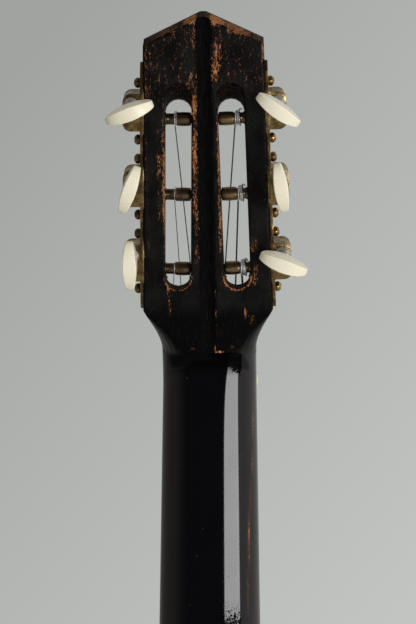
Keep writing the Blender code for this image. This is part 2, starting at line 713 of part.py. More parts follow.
def worm_shaft_mesh():
    """The worm on its shaft, along Y: one unbroken thread that fades out at both ends."""
    columns = 10
    pitch = 2 * math.pi * GEAR_PITCH_RADIUS / GEAR_TEETH
    shape = [(-WORM_ROOT_SHARE, 0), (-WORM_CREST_SHARE, 1), (WORM_CREST_SHARE, 1), (WORM_ROOT_SHARE, 0)]
    rise = WORM_CREST_RADIUS - WORM_CORE_RADIUS
    bm = bmesh.new()

    def ring(place, radius):
        angles = [2 * math.pi * c / columns for c in range(columns)]
        return [bm.verts.new((radius * math.sin(a), place, radius * math.cos(a))) for a in angles]

    low_ring = ring(-WORM_HALF_LENGTH, WORM_CORE_RADIUS)
    high_ring = ring(WORM_HALF_LENGTH, WORM_CORE_RADIUS)
    turns = math.ceil(WORM_HALF_LENGTH / pitch) + 2
    made = {}

    def point(row, column):
        row, column = row + 4 * (column // columns), column % columns
        share, height = shape[row % 4]
        place = pitch * (row // 4 - turns + share + column / columns - 0.5)
        if place <= -WORM_HALF_LENGTH:
            return low_ring[column]
        if place >= WORM_HALF_LENGTH:
            return high_ring[column]
        if (row, column) not in made:
            fade = min(1.0, (WORM_HALF_LENGTH - abs(place)) / (0.5 * pitch))
            radius = WORM_CORE_RADIUS + rise * height * fade
            angle = 2 * math.pi * column / columns
            made[row, column] = bm.verts.new((radius * math.sin(angle), place, radius * math.cos(angle)))
        return made[row, column]

    for row in range(8 * turns + 4):
        for column in range(columns):
            corners = [point(row, column), point(row, column + 1)]
            corners += [point(row + 1, column + 1), point(row + 1, column)]
            corners = list(dict.fromkeys(corners))
            if len(corners) > 2 and not set(corners) <= set(high_ring) and not set(corners) <= set(low_ring):
                bm.faces.new(corners)

    def carry_on(start, stations):
        for place, radius in stations:
            following = ring(place, radius)
            for i in range(columns):
                j = (i + 1) % columns
                bm.faces.new((start[i], start[j], following[j], following[i]))
            start = following
        bm.faces.new(start)

    carry_on(low_ring, [(-SHAFT_TAIL, SHAFT_RADIUS)])
    collar = LUG_OUTER + GAP
    collar_end = collar + COLLAR_LENGTH
    carry_on(
        high_ring,
        [
            (collar, SHAFT_RADIUS),
            (collar, COLLAR_RADIUS),
            (collar_end, COLLAR_RADIUS),
            (collar_end + COLLAR_TAPER, STEM_RADIUS),
            (BUTTON_FOOT - GAP, STEM_RADIUS),
            (BUTTON_FOOT - GAP, TANG_RADIUS),
            (BUTTON_FOOT + TANG_LENGTH, TANG_RADIUS),
        ],
    )
    bmesh.ops.recalc_face_normals(bm, faces=bm.faces)
    return bm


def gear_mesh():
    """The worm gear: its teeth slant by the worm's lead, with a gap between teeth facing the worm."""
    pitch = 2 * math.pi * GEAR_PITCH_RADIUS / GEAR_TEETH
    worm_radius = WORM_ABOVE_POST - GEAR_PITCH_RADIUS
    half_thick = (GEAR_OUTER - GEAR_INNER) / 2
    slant = pitch * half_thick / (2 * math.pi * worm_radius) / GEAR_PITCH_RADIUS
    half_tip = GEAR_TOOTH_TIP / 2 / GEAR_TIP_RADIUS
    half_root = GEAR_TOOTH_ROOT / 2 / GEAR_ROOT_RADIUS
    rings = []
    for place, turn in ((GEAR_INNER, -slant), (GEAR_OUTER, slant)):
        ring = []
        for tooth in range(GEAR_TEETH):
            centre = math.pi / 2 + 2 * math.pi * (tooth + 0.5) / GEAR_TEETH + turn
            for offset, radius in (
                (-half_root, GEAR_ROOT_RADIUS),
                (-half_tip, GEAR_TIP_RADIUS),
                (half_tip, GEAR_TIP_RADIUS),
                (half_root, GEAR_ROOT_RADIUS),
            ):
                angle = centre + offset
                ring.append((place, radius * math.cos(angle), radius * math.sin(angle)))
        rings.append(ring)
    return loft(rings)


def post_mesh():
    """The string post: tip in the centre bar, barrel, narrow neck for the string, journal, square end."""
    inner_wall = -RAIL_WIDTH - SLOT_WIDTH
    segments = 12
    square = POST_SQUARE / 2
    stations = [
        (inner_wall - POST_TIP_LENGTH, POST_TIP_RADIUS),
        (inner_wall + GAP, POST_TIP_RADIUS),
        (inner_wall + 2 * GAP, POST_BARREL_END_RADIUS),
        (inner_wall + 0.55 * POST_BARREL_LENGTH, POST_BARREL_RADIUS),
        (inner_wall + POST_BARREL_LENGTH, POST_BARREL_END_RADIUS),
        (inner_wall + POST_BARREL_LENGTH + GAP, POST_NECK_RADIUS),
        (-RAIL_WIDTH - 2 * GAP, POST_NECK_RADIUS),
        (-RAIL_WIDTH - GAP, POST_JOURNAL_RADIUS),
        (GEAR_INNER - GAP, POST_JOURNAL_RADIUS),
    ]
    rings = []
    angles = [2 * math.pi * i / segments for i in range(segments)]
    for place, radius in stations:
        rings.append([(place, radius * math.cos(a), radius * math.sin(a)) for a in angles])
    for place in (GEAR_INNER - GAP, GEAR_OUTER):
        ring = []
        for a in angles:
            reach = square / max(abs(math.cos(a)), abs(math.sin(a)))
            ring.append((place, reach * math.cos(a), reach * math.sin(a)))
        rings.append(ring)
    return loft(rings)


def button_mesh():
    """An oval button cut from a lens, its length along X: thick over the stem, thin at its long ends."""
    centre = BUTTON_FOOT + BUTTON_HEIGHT / 2
    rings = []
    faces = [(-1, share) for share in BUTTON_RINGS] + [(1, share) for share in reversed(BUTTON_RINGS)]
    for face, share in faces:
        ring = []
        for i in range(BUTTON_POINTS):
            angle = 2 * math.pi * i / BUTTON_POINTS
            x = share * BUTTON_LENGTH / 2 * math.cos(angle)
            y = share * BUTTON_HEIGHT / 2 * math.sin(angle)
            fall = BUTTON_FALL[0] * x * x + BUTTON_FALL[1] * y * y
            if share == BUTTON_RINGS[0]:
                fall = 0
            ring.append((x, centre + y, face * (BUTTON_THICK - fall) / 2))
        rings.append(ring)
    return loft(rings)


def axis_empty(name, matrix):
    empty = bpy.data.objects.new(name, None)
    empty.matrix_world = matrix
    bpy.context.scene.collection.objects.link(empty)
    return empty


def make_tuner(number):
    side, row = TUNERS[number]
    frame = side_frame(side, POST_ALONG[row])
    up = 1 if side == TREBLE else -1
    post_axis = axis_empty(f"post_axis_{number}", frame)
    worm_place = Matrix.Translation((WORM_OUT, 0, up * WORM_ABOVE_POST))
    worm_axis = axis_empty(f"worm_axis_{number}", frame @ worm_place)

    shaft, gear = worm_shaft_mesh(), gear_mesh()
    if side == BASS:
        flip_z(shaft)
        flip_z(gear)
    add_object(f"worm_shaft_{number}", shaft, "steel", parent=worm_axis)
    gear = add_object(f"tuner_gear_{number}", gear, "brass", parent=post_axis, smooth=False)
    half = POST_SQUARE / 2 + GAP
    square = box((GEAR_INNER - OVER, -half, -half), (GEAR_OUTER + OVER, half, half))
    cut(gear, helper(f"gear_square_{number}", square, frame))

    post = add_object(f"string_post_{number}", post_mesh(), "brass", parent=post_axis)
    reach = POST_BARREL_RADIUS + OVER
    hole = turned([(-reach, STRING_HOLE_RADIUS), (reach, STRING_HOLE_RADIUS)], 8, axis="Y")
    bmesh.ops.translate(hole, vec=(-RAIL_WIDTH - STRING_HOLE_INSET, 0, 0), verts=hole.verts)
    cut(post, helper(f"string_hole_{number}", hole, frame))

    button = add_object(f"tuner_button_{number}", button_mesh(), "ivoroid", parent=worm_axis)
    turn = Matrix.Rotation(math.radians(BUTTON_TURNS[number]), 4, "Y")
    button.matrix_local = turn
    low, high = BUTTON_FOOT - OVER, BUTTON_FOOT + TANG_LENGTH + GAP
    seat = turned([(low, TANG_RADIUS + GAP), (high, TANG_RADIUS + GAP)], 12, axis="Y")
    cut(button, helper(f"button_seat_{number}", seat, frame @ worm_place))


# Strings


def winding(number):
    """Points of a string's turns round its post, from where it meets the post, in world space."""
    side, row = TUNERS[number]
    frame = side_frame(side, POST_ALONG[row])
    up = 1 if side == TREBLE else -1
    radius = POST_NECK_RADIUS + WINDING_LIFT + STRING_DIAMETERS[number] / 2
    start = Vector((string_x(number, NUT_STRING_SPREAD), nut_string_y(number), NUT_LENGTH - NUT_EDGE))
    seen = frame.inverted() @ start
    toward = math.atan2(up * seen.z, seen.y)
    distance = math.hypot(seen.y, seen.z)
    meet = toward - math.acos(radius / distance)
    points = []
    for i in range(int(WINDING_TURNS * WINDING_POINTS) + 1):
        share = i / WINDING_POINTS
        angle = meet - 2 * math.pi * share
        x = WINDING_START + WINDING_STEP * share
        points.append(frame @ Vector((x, radius * math.cos(angle), up * radius * math.sin(angle))))
    return points


def string_route(number):
    radius = STRING_DIAMETERS[number] / 2
    nut_x = string_x(number, NUT_STRING_SPREAD)
    saddle_x = string_x(number, SADDLE_STRING_SPREAD)
    bore_y = -GAP - STRING_BORE_HEIGHT
    over_saddle = -GAP - SADDLE_TOP - GAP - radius
    tail = -SCALE_LENGTH - BRIDGE_BELOW_SADDLE
    route = [
        Vector((saddle_x, bore_y, tail - STRING_END)),
        Vector((saddle_x, bore_y, tail + TIE_BLOCK_LENGTH + MM)),
        Vector((saddle_x, over_saddle, -SCALE_LENGTH - SADDLE_THICK / 2)),
        Vector((saddle_x, over_saddle, -SCALE_LENGTH)),
        Vector((nut_x, nut_string_y(number), NUT_EDGE)),
        Vector((nut_x, nut_string_y(number), NUT_LENGTH - NUT_EDGE)),
    ]
    return route + winding(number)


def least_self_gap(points, diameter):
    """Least clear distance between a winding's turns."""
    apart = WINDING_POINTS // 2
    least = min(
        (points[i] - points[j]).length for i in range(len(points)) for j in range(i + apart, len(points))
    )
    return least - diameter


def make_string(number):
    curve = bpy.data.curves.new(f"string_{number}", "CURVE")
    curve.dimensions = "3D"
    curve.bevel_depth = STRING_DIAMETERS[number] / 2
    curve.bevel_resolution = 1
    curve.use_fill_caps = True
    points = string_route(number)
    spline = curve.splines.new("POLY")
    spline.points.add(len(points) - 1)
    for spot, place in zip(spline.points, points):
        spot.co = (*place, 1)
    curve.materials.append(material("string_wire"))
    obj = bpy.data.objects.new(f"string_{number}", curve)
    bpy.context.scene.collection.objects.link(obj)
    gap = least_self_gap(winding(number), STRING_DIAMETERS[number])
    print(f"string_{number}: least gap between turns {gap / MM:.2f} mm")


# Body


def half_outline():
    """The treble half of the body's outline, from the shoulder at the neck to the tail, as (x, z)."""
    knots = [
        ((SHOULDER_FLAT, 0), None, (SHOULDER_FLAT + 62 * MM, 0)),
        ((UPPER_BOUT / 2, -UPPER_BOUT_AT), 56 * MM, 40 * MM),
        ((WAIST / 2, -WAIST_AT), 42 * MM, 56 * MM),
        ((LOWER_BOUT / 2, -LOWER_BOUT_AT), 76 * MM, 72 * MM),
        ((0, -BODY_LENGTH), (100 * MM, -BODY_LENGTH), None),
    ]
    points = []
    for first, second in zip(knots, knots[1:]):
        start, end = Vector(first[0]), Vector(second[0])
        out = Vector(first[2]) if isinstance(first[2], tuple) else start + Vector((0, -first[2]))
        into = Vector(second[1]) if isinstance(second[1], tuple) else end + Vector((0, second[1]))
        points += interpolate_bezier(start, out, into, end, OUTLINE_STEPS + 1)[:-1]
    points.append(Vector(knots[-1][0]))
    return [Vector((point.x, point.y + BODY_TOP)) for point in points]


def inset(points, distance):
    """An open outline moved inward, to its right-hand side seen along its run."""
    moved = []
    for i, point in enumerate(points):
        run = points[min(i + 1, len(points) - 1)] - points[max(i - 1, 0)]
        normal = Vector((run.y, -run.x)).normalized()
        moved.append(point + normal * distance)
    moved[0].x = points[0].x
    moved[-1].x = points[-1].x
    return moved


def half_width(z):
    """Half the body's width at a height, read from the outline."""
    points = half_outline()
    for first, second in zip(points, points[1:]):
        if first.y >= z >= second.y:
            share = (first.y - z) / max(first.y - second.y, 1e-9)
            return first.x + (second.x - first.x) * share
    return 0.0


def tail_z(x):
    """Height of the ribs' inner face near the tail, at a distance from the centre line."""
    points = inset(half_outline(), RIB_THICK + GAP)
    for first, second in zip(points, points[1:]):
        if first.x >= x >= second.x and second.y < BODY_TOP - LOWER_BOUT_AT:
            share = (first.x - x) / (first.x - second.x)
            return first.y + (second.y - first.y) * share
    return points[-1].y


def whole_outline(distance=0.0):
    half = inset(half_outline(), distance)
    return half + [Vector((-point.x, point.y)) for point in reversed(half[:-1])]


def lay(points, y):
    return [Vector((point.x, y, point.y)) for point in points]


def ring_solid(inner, outer, low, high, centre_z, segments):
    rings = []
    for i in range(segments):
        angle = 2 * math.pi * i / segments
        x, z = math.cos(angle), math.sin(angle)
        corners = ((inner, low), (outer, low), (outer, high), (inner, high))
        rings.append([(radius * x, y, centre_z + radius * z) for radius, y in corners])
    return loft(rings, closed=True)


def make_plates_of_wood():
    hole_z = BODY_TOP - SOUNDHOLE_AT
    board = add_object(
        "soundboard", prism(lay(whole_outline(), 0), (0, PLATE_WOOD, 0)), "spruce", smooth=False
    )
    low, high = -OVER, PLATE_WOOD + OVER
    hole = turned([(low, SOUNDHOLE_RADIUS), (high, SOUNDHOLE_RADIUS)], 32, axis="Y")
    bmesh.ops.translate(hole, vec=(0, 0, hole_z), verts=hole.verts)
    cut(board, helper("soundhole", hole))
    channel = ring_solid(ROSETTE_INNER, ROSETTE_OUTER, -OVER, ROSETTE_DEPTH, hole_z, 32)
    cut(board, helper("rosette_channel", channel))
    inlay = ring_solid(
        ROSETTE_INNER + GAP, ROSETTE_OUTER - GAP, 0, ROSETTE_DEPTH - GAP, hole_z, 32
    )
    add_object("rosette", inlay, "rosewood", smooth=False)
    back_y = BODY_DEPTH - PLATE_WOOD
    add_object(
        "back_plate", prism(lay(whole_outline(), back_y), (0, PLATE_WOOD, 0)), "black_lacquer", smooth=False
    )


def side_points(distance, start_x):
    """The treble side's outline from beside the neck to the tail, moved inward."""
    half = half_outline()
    first = Vector((start_x, half[0].y))
    points = inset([first] + half, distance)
    points[-1].x = GAP / 2
    return points


def band(outer, inner, low, high, side):
    outline = outer + list(reversed(inner))
    return prism([Vector((side * p.x, low, p.y)) for p in outline], (0, high - low, 0))


def between_blocks(points):
    """The run of an outline that lies clear of the neck block and the tail block."""
    limit = BLOCK_WIDTH / 2 + MM
    return [point for point in points if abs(point.x) > limit]


def make_sides():
    low = PLATE_WOOD + GAP
    high = BODY_DEPTH - PLATE_WOOD - GAP
    start = TENON_WIDTH / 2 + GAP
    outer, inner = side_points(0, start), side_points(RIB_THICK, start)
    lining_outer = between_blocks(side_points(RIB_THICK + GAP, start))
    lining_inner = side_points(RIB_THICK + GAP + LINING_WIDTH, start)
    lining_inner = [
        inside
        for inside, outside in zip(lining_inner, side_points(RIB_THICK + GAP, start))
        if outside in lining_outer
    ]
    for side, word in ((TREBLE, "treble"), (BASS, "bass")):
        add_object(f"rib_{word}", band(outer, inner, low, high, side), "black_lacquer")
        front = band(lining_outer, lining_inner, low, low + LINING_HEIGHT, side)
        add_object(f"front_lining_{word}", front, "cedar")
        back = band(lining_outer, lining_inner, high - LINING_HEIGHT, high, side)
        add_object(f"back_lining_{word}", back, "cedar")


def make_blocks():
    low = PLATE_WOOD + GAP
    high = BODY_DEPTH - PLATE_WOOD - GAP
    half = BLOCK_WIDTH / 2
    top = BODY_TOP - RIB_THICK - GAP
    block = add_object(
        "neck_block", box((-half, low, top - NECK_BLOCK_LENGTH), (half, high, top)), "cedar", smooth=False
    )
    mortise = box(
        (-TENON_WIDTH / 2 - GAP, TENON_FRONT - GAP, BODY_TOP - TENON_LENGTH - GAP),
        (TENON_WIDTH / 2 + GAP, TENON_BACK + GAP, top + OVER),
    )
    cut(block, helper("mortise", mortise))

    inner_z = BODY_TAIL + RIB_THICK + TAIL_BLOCK_LENGTH
    tail = [Vector((half * i / 3, tail_z(abs(half * i / 3)))) for i in range(3, -4, -1)]
    corners = [Vector((-half, inner_z)), Vector((half, inner_z))]
    add_object("tail_block", prism(lay(tail + corners, low), (0, high - low, 0)), "cedar", smooth=False)


def bar_profile(half, rest, height, end_height):
    """A bar's side: flat where it is glued, low at its ends, arched in the middle."""
    outline = [(-half, rest), (half, rest), (half, rest + end_height)]
    arched = half * BAR_ARCH_SHARE
    outline += [(arched, rest + height), (-arched, rest + height), (-half, rest + end_height)]
    return outline


def make_bars():
    low = PLATE_WOOD + GAP
    high = BODY_DEPTH - PLATE_WOOD - GAP
    clear = RIB_THICK + LINING_WIDTH + BAR_END_CLEARANCE
    for word, places, rest, sense in (
        ("front_bar", TOP_BARS_AT, low, 1),
        ("back_bar", BACK_BARS_AT, high, -1),
    ):
        for index, place in enumerate(places, 1):
            z = BODY_TOP - place
            half = min(half_width(z - BAR_WIDTH / 2), half_width(z + BAR_WIDTH / 2)) - clear
            outline = bar_profile(half, rest, sense * BAR_HEIGHT, sense * BAR_END_HEIGHT)
            bar = prism([(x, y, z - BAR_WIDTH / 2) for x, y in outline], (0, 0, BAR_WIDTH))
            add_object(f"{word}_{index}", bar, "spruce", smooth=False)
    half = FAN_LENGTH / 2
    for index, step in enumerate((-1, 0, 1), 1):
        outline = bar_profile(half, 0, FAN_HEIGHT, FAN_END_HEIGHT)
        brace = prism([(-BAR_WIDTH / 2, y, x) for x, y in outline], (BAR_WIDTH, 0, 0))
        place = Matrix.Translation((step * FAN_SPREAD, low, BODY_TOP - FAN_TOP_AT - half))
        turn = Matrix.Rotation(step * FAN_SPLAY, 4, "Y")
        add_object(f"fan_brace_{index}", brace, "spruce", place @ turn, smooth=False)


def make_bridge():
    top = -SCALE_LENGTH + BRIDGE_ABOVE_SADDLE
    tail = -SCALE_LENGTH - BRIDGE_BELOW_SADDLE
    half_saddle = SADDLE_THICK / 2 + GAP
    channel = -SCALE_LENGTH - half_saddle - SADDLE_WALL

    def at(height):
        return -GAP - height

    slot_top, slot_tail = -SCALE_LENGTH + half_saddle, -SCALE_LENGTH - half_saddle
    profile = [(top, at(0)), (top, at(WING_HEIGHT)), (top - BRIDGE_SLOPE, at(SADDLE_WALL_HEIGHT))]
    profile += [(slot_top, at(SADDLE_WALL_HEIGHT)), (slot_top, at(SADDLE_SEAT - GAP))]
    profile += [(slot_tail, at(SADDLE_SEAT - GAP)), (slot_tail, at(SADDLE_BACK_HEIGHT))]
    profile += [(channel, at(TIE_CHANNEL_HEIGHT)), (tail + TIE_BLOCK_LENGTH, at(TIE_CHANNEL_HEIGHT))]
    profile += [(tail + TIE_BLOCK_LENGTH, at(BRIDGE_HEIGHT)), (tail + BRIDGE_EDGE, at(BRIDGE_HEIGHT))]
    profile += [(tail, at(BRIDGE_HEIGHT - BRIDGE_EDGE)), (tail, at(0))]
    half = BRIDGE_CENTRE / 2
    bridge = add_object(
        "bridge", prism([(-half, y, z) for z, y in profile], (2 * half, 0, 0)), "ebony", smooth=False
    )
    wings = []
    for side in (BASS, TREBLE):
        rings = []
        for x, height in ((half - WING_OVERLAP, WING_HEIGHT), (BRIDGE_LENGTH / 2, WING_TIP_HEIGHT)):
            low = height - BRIDGE_EDGE
            corners = ((top, 0), (top, low), (top - BRIDGE_EDGE, height))
            corners += ((tail + BRIDGE_EDGE, height), (tail, low), (tail, 0))
            rings.append([(side * x, at(up), z) for z, up in corners])
        wings.append(loft(rings))
    fuse(bridge, helper("bridge_wings", joined(*wings)))
    bores = []
    for number in range(1, 7):
        bore = turned(
            [(tail - OVER, STRING_BORE_RADIUS), (tail + TIE_BLOCK_LENGTH + OVER, STRING_BORE_RADIUS)], 10
        )
        turn = Matrix.Rotation(-math.pi / 2, 4, "Y")
        bmesh.ops.transform(bore, matrix=turn, verts=bore.verts)
        place = (string_x(number, SADDLE_STRING_SPREAD), at(STRING_BORE_HEIGHT), 0)
        bmesh.ops.translate(bore, vec=place, verts=bore.verts)
        bores.append(bore)
    cut(bridge, helper("tie_bores", joined(*bores)))

    rings = []
    for x in (-SADDLE_LENGTH / 2, SADDLE_LENGTH / 2):
        ring = []
        for i in range(7):
            angle = math.pi * i / 6
            lift = SADDLE_TOP - SADDLE_THICK / 2 + SADDLE_THICK / 2 * math.sin(angle)
            ring.append((x, at(lift), -SCALE_LENGTH + SADDLE_THICK / 2 * math.cos(angle)))
        ring.append((x, at(SADDLE_SEAT), -SCALE_LENGTH - SADDLE_THICK / 2))
        ring.append((x, at(SADDLE_SEAT), -SCALE_LENGTH + SADDLE_THICK / 2))
        rings.append(ring)
    add_object("saddle", loft(rings), "bone", smooth=False)


def main():
    clear_scene()
    make_head()
    make_neck()
    make_fingerboard()
    make_nut()
    make_plates()
    for number in TUNERS:
        make_tuner(number)
        make_string(number)
    make_plates_of_wood()
    make_sides()
    make_blocks()
    make_bars()
    make_bridge()


main()
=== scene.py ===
import math

import bmesh
import bpy
import numpy
from mathutils import Matrix, Vector


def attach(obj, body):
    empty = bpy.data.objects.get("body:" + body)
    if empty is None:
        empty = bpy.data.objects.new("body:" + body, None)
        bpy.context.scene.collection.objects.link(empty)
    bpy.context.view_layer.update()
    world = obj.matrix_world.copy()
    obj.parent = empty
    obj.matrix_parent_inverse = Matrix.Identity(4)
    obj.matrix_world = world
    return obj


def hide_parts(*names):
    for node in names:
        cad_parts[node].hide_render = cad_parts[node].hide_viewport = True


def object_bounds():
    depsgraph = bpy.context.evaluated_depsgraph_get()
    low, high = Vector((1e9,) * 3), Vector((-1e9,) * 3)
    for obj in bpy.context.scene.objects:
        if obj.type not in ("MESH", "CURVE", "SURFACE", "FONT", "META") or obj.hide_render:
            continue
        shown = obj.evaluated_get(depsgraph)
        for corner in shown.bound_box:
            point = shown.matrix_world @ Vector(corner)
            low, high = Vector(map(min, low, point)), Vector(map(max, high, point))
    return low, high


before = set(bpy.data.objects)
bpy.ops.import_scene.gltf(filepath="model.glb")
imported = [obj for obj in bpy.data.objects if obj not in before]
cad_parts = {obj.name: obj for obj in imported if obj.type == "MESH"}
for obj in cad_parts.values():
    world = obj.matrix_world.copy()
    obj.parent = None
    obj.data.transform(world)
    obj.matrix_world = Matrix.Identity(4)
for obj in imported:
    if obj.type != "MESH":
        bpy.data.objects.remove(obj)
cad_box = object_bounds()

MM = 0.001

# The head leans back from the neck and a little to the treble side, +X
HEAD_TILT = math.radians(15)
HEAD_LEAN = math.radians(0.86)
HEAD_FOOT = 2.5 * MM
HEAD = Matrix.Translation((0, 0, HEAD_FOOT)) @ Matrix.Rotation(-HEAD_TILT, 4, "X") @ Matrix.Rotation(HEAD_LEAN, 4, "Y")
HEAD_THICK = 16 * MM
HEAD_EDGE = 1.2 * MM
HEAD_CORNER = 179.1 * MM
CORNER_HALF = 30.3 * MM
SIDE_SLOPE = 0.0234
FLARE_FOOT = 18.7 * MM
FLARE_TOP = 41.7 * MM
FLARE_CURVE = 1.45
FLARE_ROUND = 20 * MM
FLARE_ROUND_CURVE = 1.3
# Where neck and head flow into each other
JOINT_Z = 16 * MM
HOLLOW = 2.2 * MM

# Tuners, by string: side of the head, and row from below
TUNERS = {1: (1, 0), 2: (1, 1), 3: (1, 2), 4: (-1, 2), 5: (-1, 1), 6: (-1, 0)}
POST_ALONG = (62.7 * MM, 101.7 * MM, 140.7 * MM)
POST_DEPTH = 8 * MM
POST_NECK = 2.95 * MM
WORM_OUT = 5.8 * MM
WORM_ABOVE = 8.4 * MM
GEAR_PITCH_RADIUS = 5.55 * MM
GEAR_TEETH = 14
BUTTON_TURNS = {1: 91.6, 2: 70.8, 3: 21.0, 4: -36.9, 5: -83.0, 6: -22.5}

# Neck and heel
NUT_HALF = 24.6 * MM
NECK_GAIN = 0.0155
NECK_DEPTH = 20.3 * MM
NECK_DEPTH_GAIN = 2 * MM
SIDE_SHARE = 0.12
NECK_SIDE = SIDE_SHARE * NECK_DEPTH
CROWN_FLAT = 9 * MM
CROWN_FLAT_LEAST = 3.3 * MM
CROWN_RUN = 14 * MM
BODY_TOP = -325 * MM
HEEL_TOP = BODY_TOP + 64 * MM
HEEL_RUN = 50 * MM
HEEL_DEPTH = 91 * MM
HEEL_FLAT = 9.5 * MM

# Fingerboard and strings
SCALE = 650 * MM
FRET_COUNT = 19
BOARD_FRONT, BOARD_BACK = -6 * MM, -0.3 * MM
WIRE = {1: 0.36 * MM, 2: 0.42 * MM, 3: 0.55 * MM, 4: 0.7 * MM, 5: 0.85 * MM, 6: 1.05 * MM}
NUT_SPREAD, SADDLE_SPREAD = 40 * MM, 58 * MM
NUT_TOP, SADDLE_TOP, TIE_HOLE = -8.9 * MM, -11.6 * MM, -5.5 * MM
TURNS_START = -15.6 * MM

# Body
BODY_DEPTH = 96 * MM
PLATE_WOOD = 2.5 * MM
RIB_WOOD = 2.2 * MM
HOLE_Z = -478 * MM
HOLE_RADIUS = 42.5 * MM
INLAY_INNER, INLAY_OUTER = 46 * MM, 57 * MM


def side_half(along):
    return CORNER_HALF + (HEAD_CORNER - along) * SIDE_SLOPE


def side_frame(side, along):
    """On the side of the head: X outward, Y to the back, Z up the treble side and down the bass side."""
    angle = math.atan(SIDE_SLOPE)
    outward = Vector((side * math.cos(angle), 0, math.sin(angle)))
    back = Vector((0, 1, 0))
    turn = Matrix((outward, back, outward.cross(back))).transposed().to_4x4()
    return HEAD @ Matrix.Translation((side * side_half(along), POST_DEPTH, along)) @ turn


def post_frame(number):
    side, row = TUNERS[number]
    return side_frame(side, POST_ALONG[row])


def worm_frame(number):
    side = TUNERS[number][0]
    return post_frame(number) @ Matrix.Translation((WORM_OUT, 0, side * WORM_ABOVE))


def limited(value):
    return min(1.0, max(0.0, value))


# Modelling by hand


def only(obj):
    bpy.ops.object.select_all(action="DESELECT")
    obj.select_set(True)
    bpy.context.view_layer.objects.active = obj


def pick_all():
    bpy.ops.mesh.select_all(action="SELECT")


def pick_none():
    bpy.ops.mesh.select_all(action="DESELECT")


def edit(obj):
    only(obj)
    bpy.ops.object.mode_set(mode="EDIT")
    bpy.ops.mesh.select_mode(type="VERT")
    pick_all()


def leave():
    bpy.ops.object.mode_set(mode="OBJECT")


def face_outward():
    pick_all()
    bpy.ops.mesh.normals_make_consistent(inside=False)


def extrude(way):
    bpy.ops.mesh.extrude_region_move(TRANSFORM_OT_translate={"value": way})


def named(obj, name):
    obj.name = obj.data.name = name
    return obj


def new_piece(name, primitive, **settings):
    bpy.ops.object.select_all(action="DESELECT")
    getattr(bpy.ops.mesh, f"primitive_{primitive}_add")(**settings)
    bpy.ops.object.transform_apply(location=True, rotation=True, scale=True)
    return named(bpy.context.object, name)


def disc(name, vertices, radius, **settings):
    return new_piece(name, "circle", vertices=vertices, radius=radius, fill_type="NGON", **settings)


def in_scene(name, data):
    obj = bpy.data.objects.new(name, data)
    bpy.context.scene.collection.objects.link(obj)
    return obj


def clear_away(obj):
    bpy.data.objects.remove(obj, do_unlink=True)


def pick(obj, test):
    """Selects the points, in edit mode, that pass a test on their place."""
    pick_none()
    bm = bmesh.from_edit_mesh(obj.data)
    for vert in bm.verts:
        vert.select_set(test(vert.co))
    bm.select_flush(True)
    bmesh.update_edit_mesh(obj.data)


def modify(obj, kind, **settings):
    only(obj)
    bpy.ops.object.modifier_add(type=kind)
    modifier = obj.modifiers[-1]
    for key, value in settings.items():
        setattr(modifier, key, value)
    bpy.ops.object.modifier_apply(modifier=modifier.name)


def round_edges(obj, width, segments=2, angle=32):
    limit = {"limit_method": "ANGLE", "angle_limit": math.radians(angle)}
    modify(obj, "BEVEL", width=width, segments=segments, harden_normals=False, **limit)


def smooth(obj, angle=35):
    only(obj)
    bpy.ops.object.shade_smooth_by_angle(angle=math.radians(angle))


def settle(obj, matrix):
    """Moves a finished piece to its place, with the place in its mesh."""
    obj.matrix_world = matrix
    only(obj)
    bpy.ops.object.transform_apply(location=True, rotation=True, scale=True)
    if matrix.determinant() < 0:
        edit(obj)
        face_outward()
        leave()
    return obj


def copy_of(obj, name):
    twin = obj.copy()
    twin.data = obj.data.copy()
    bpy.context.scene.collection.objects.link(twin)
    return named(twin, name)


def from_solid(name, node, flat=True):
    """A copy of a solid's mesh, its loose triangles merged into whole faces, ready to be refined."""
    obj = copy_of(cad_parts[node], name)
    obj.parent = None
    for key in list(obj.keys()):
        del obj[key]
    obj.data.materials.clear()
    only(obj)
    bpy.ops.mesh.customdata_custom_splitnormals_clear()
    edit(obj)
    bpy.ops.mesh.remove_doubles(threshold=0.002 * MM)
    if flat:
        bpy.ops.mesh.dissolve_limited(angle_limit=math.radians(0.6))
    leave()
    return obj


def refined(name, node, width):
    """A copy of a solid with its edges rounded."""
    obj = from_solid(name, node)
    round_edges(obj, width)
    smooth(obj)
    return obj


def from_curve(name, curve):
    only(in_scene(name, curve))
    bpy.ops.object.convert(target="MESH")
    return bpy.context.object


def join(pieces, name):
    bpy.ops.object.select_all(action="DESELECT")
    for obj in pieces:
        obj.select_set(True)
    bpy.context.view_layer.objects.active = pieces[0]
    bpy.ops.object.join()
    return named(pieces[0], name)


def turned(name, rings, segments=36):
    """Turned on a lathe along X: a disc is extruded and scaled from ring to ring, given in millimetres."""
    (place, radius), *others = [(place * MM, radius * MM) for place, radius in rings]
    obj = disc(name, segments, radius, location=(place, 0, 0), rotation=(0, math.pi / 2, 0))
    edit(obj)
    for next_place, next_radius in others:
        extrude((next_place - place, 0, 0))
        grow = next_radius / radius
        bpy.ops.transform.resize(value=(1, grow, grow), center_override=(next_place, 0, 0))
        place, radius = next_place, next_radius
    face_outward()
    leave()
    return obj


def carve(obj, cutter):
    modify(obj, "BOOLEAN", operation="DIFFERENCE", solver="EXACT", object=cutter)
    clear_away(cutter)


def slotted_screw(name, rings, slot_at, slot_size, angle):
    screw = turned(name, rings, 28)
    slot = new_piece("slot", "cube", size=1, location=(slot_at * MM, 0, 0), scale=[size * MM for size in slot_size])
    carve(screw, slot)
    smooth(screw, angle)
    return screw


def put(obj, body, slot, finish, *nodes):
    """Gives a piece its finish and its place in the guitar."""
    obj.data.materials.clear()
    obj.data.materials.append(finish)
    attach(obj, body)
    if nodes:
        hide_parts(*nodes)
    return obj


# Finishes


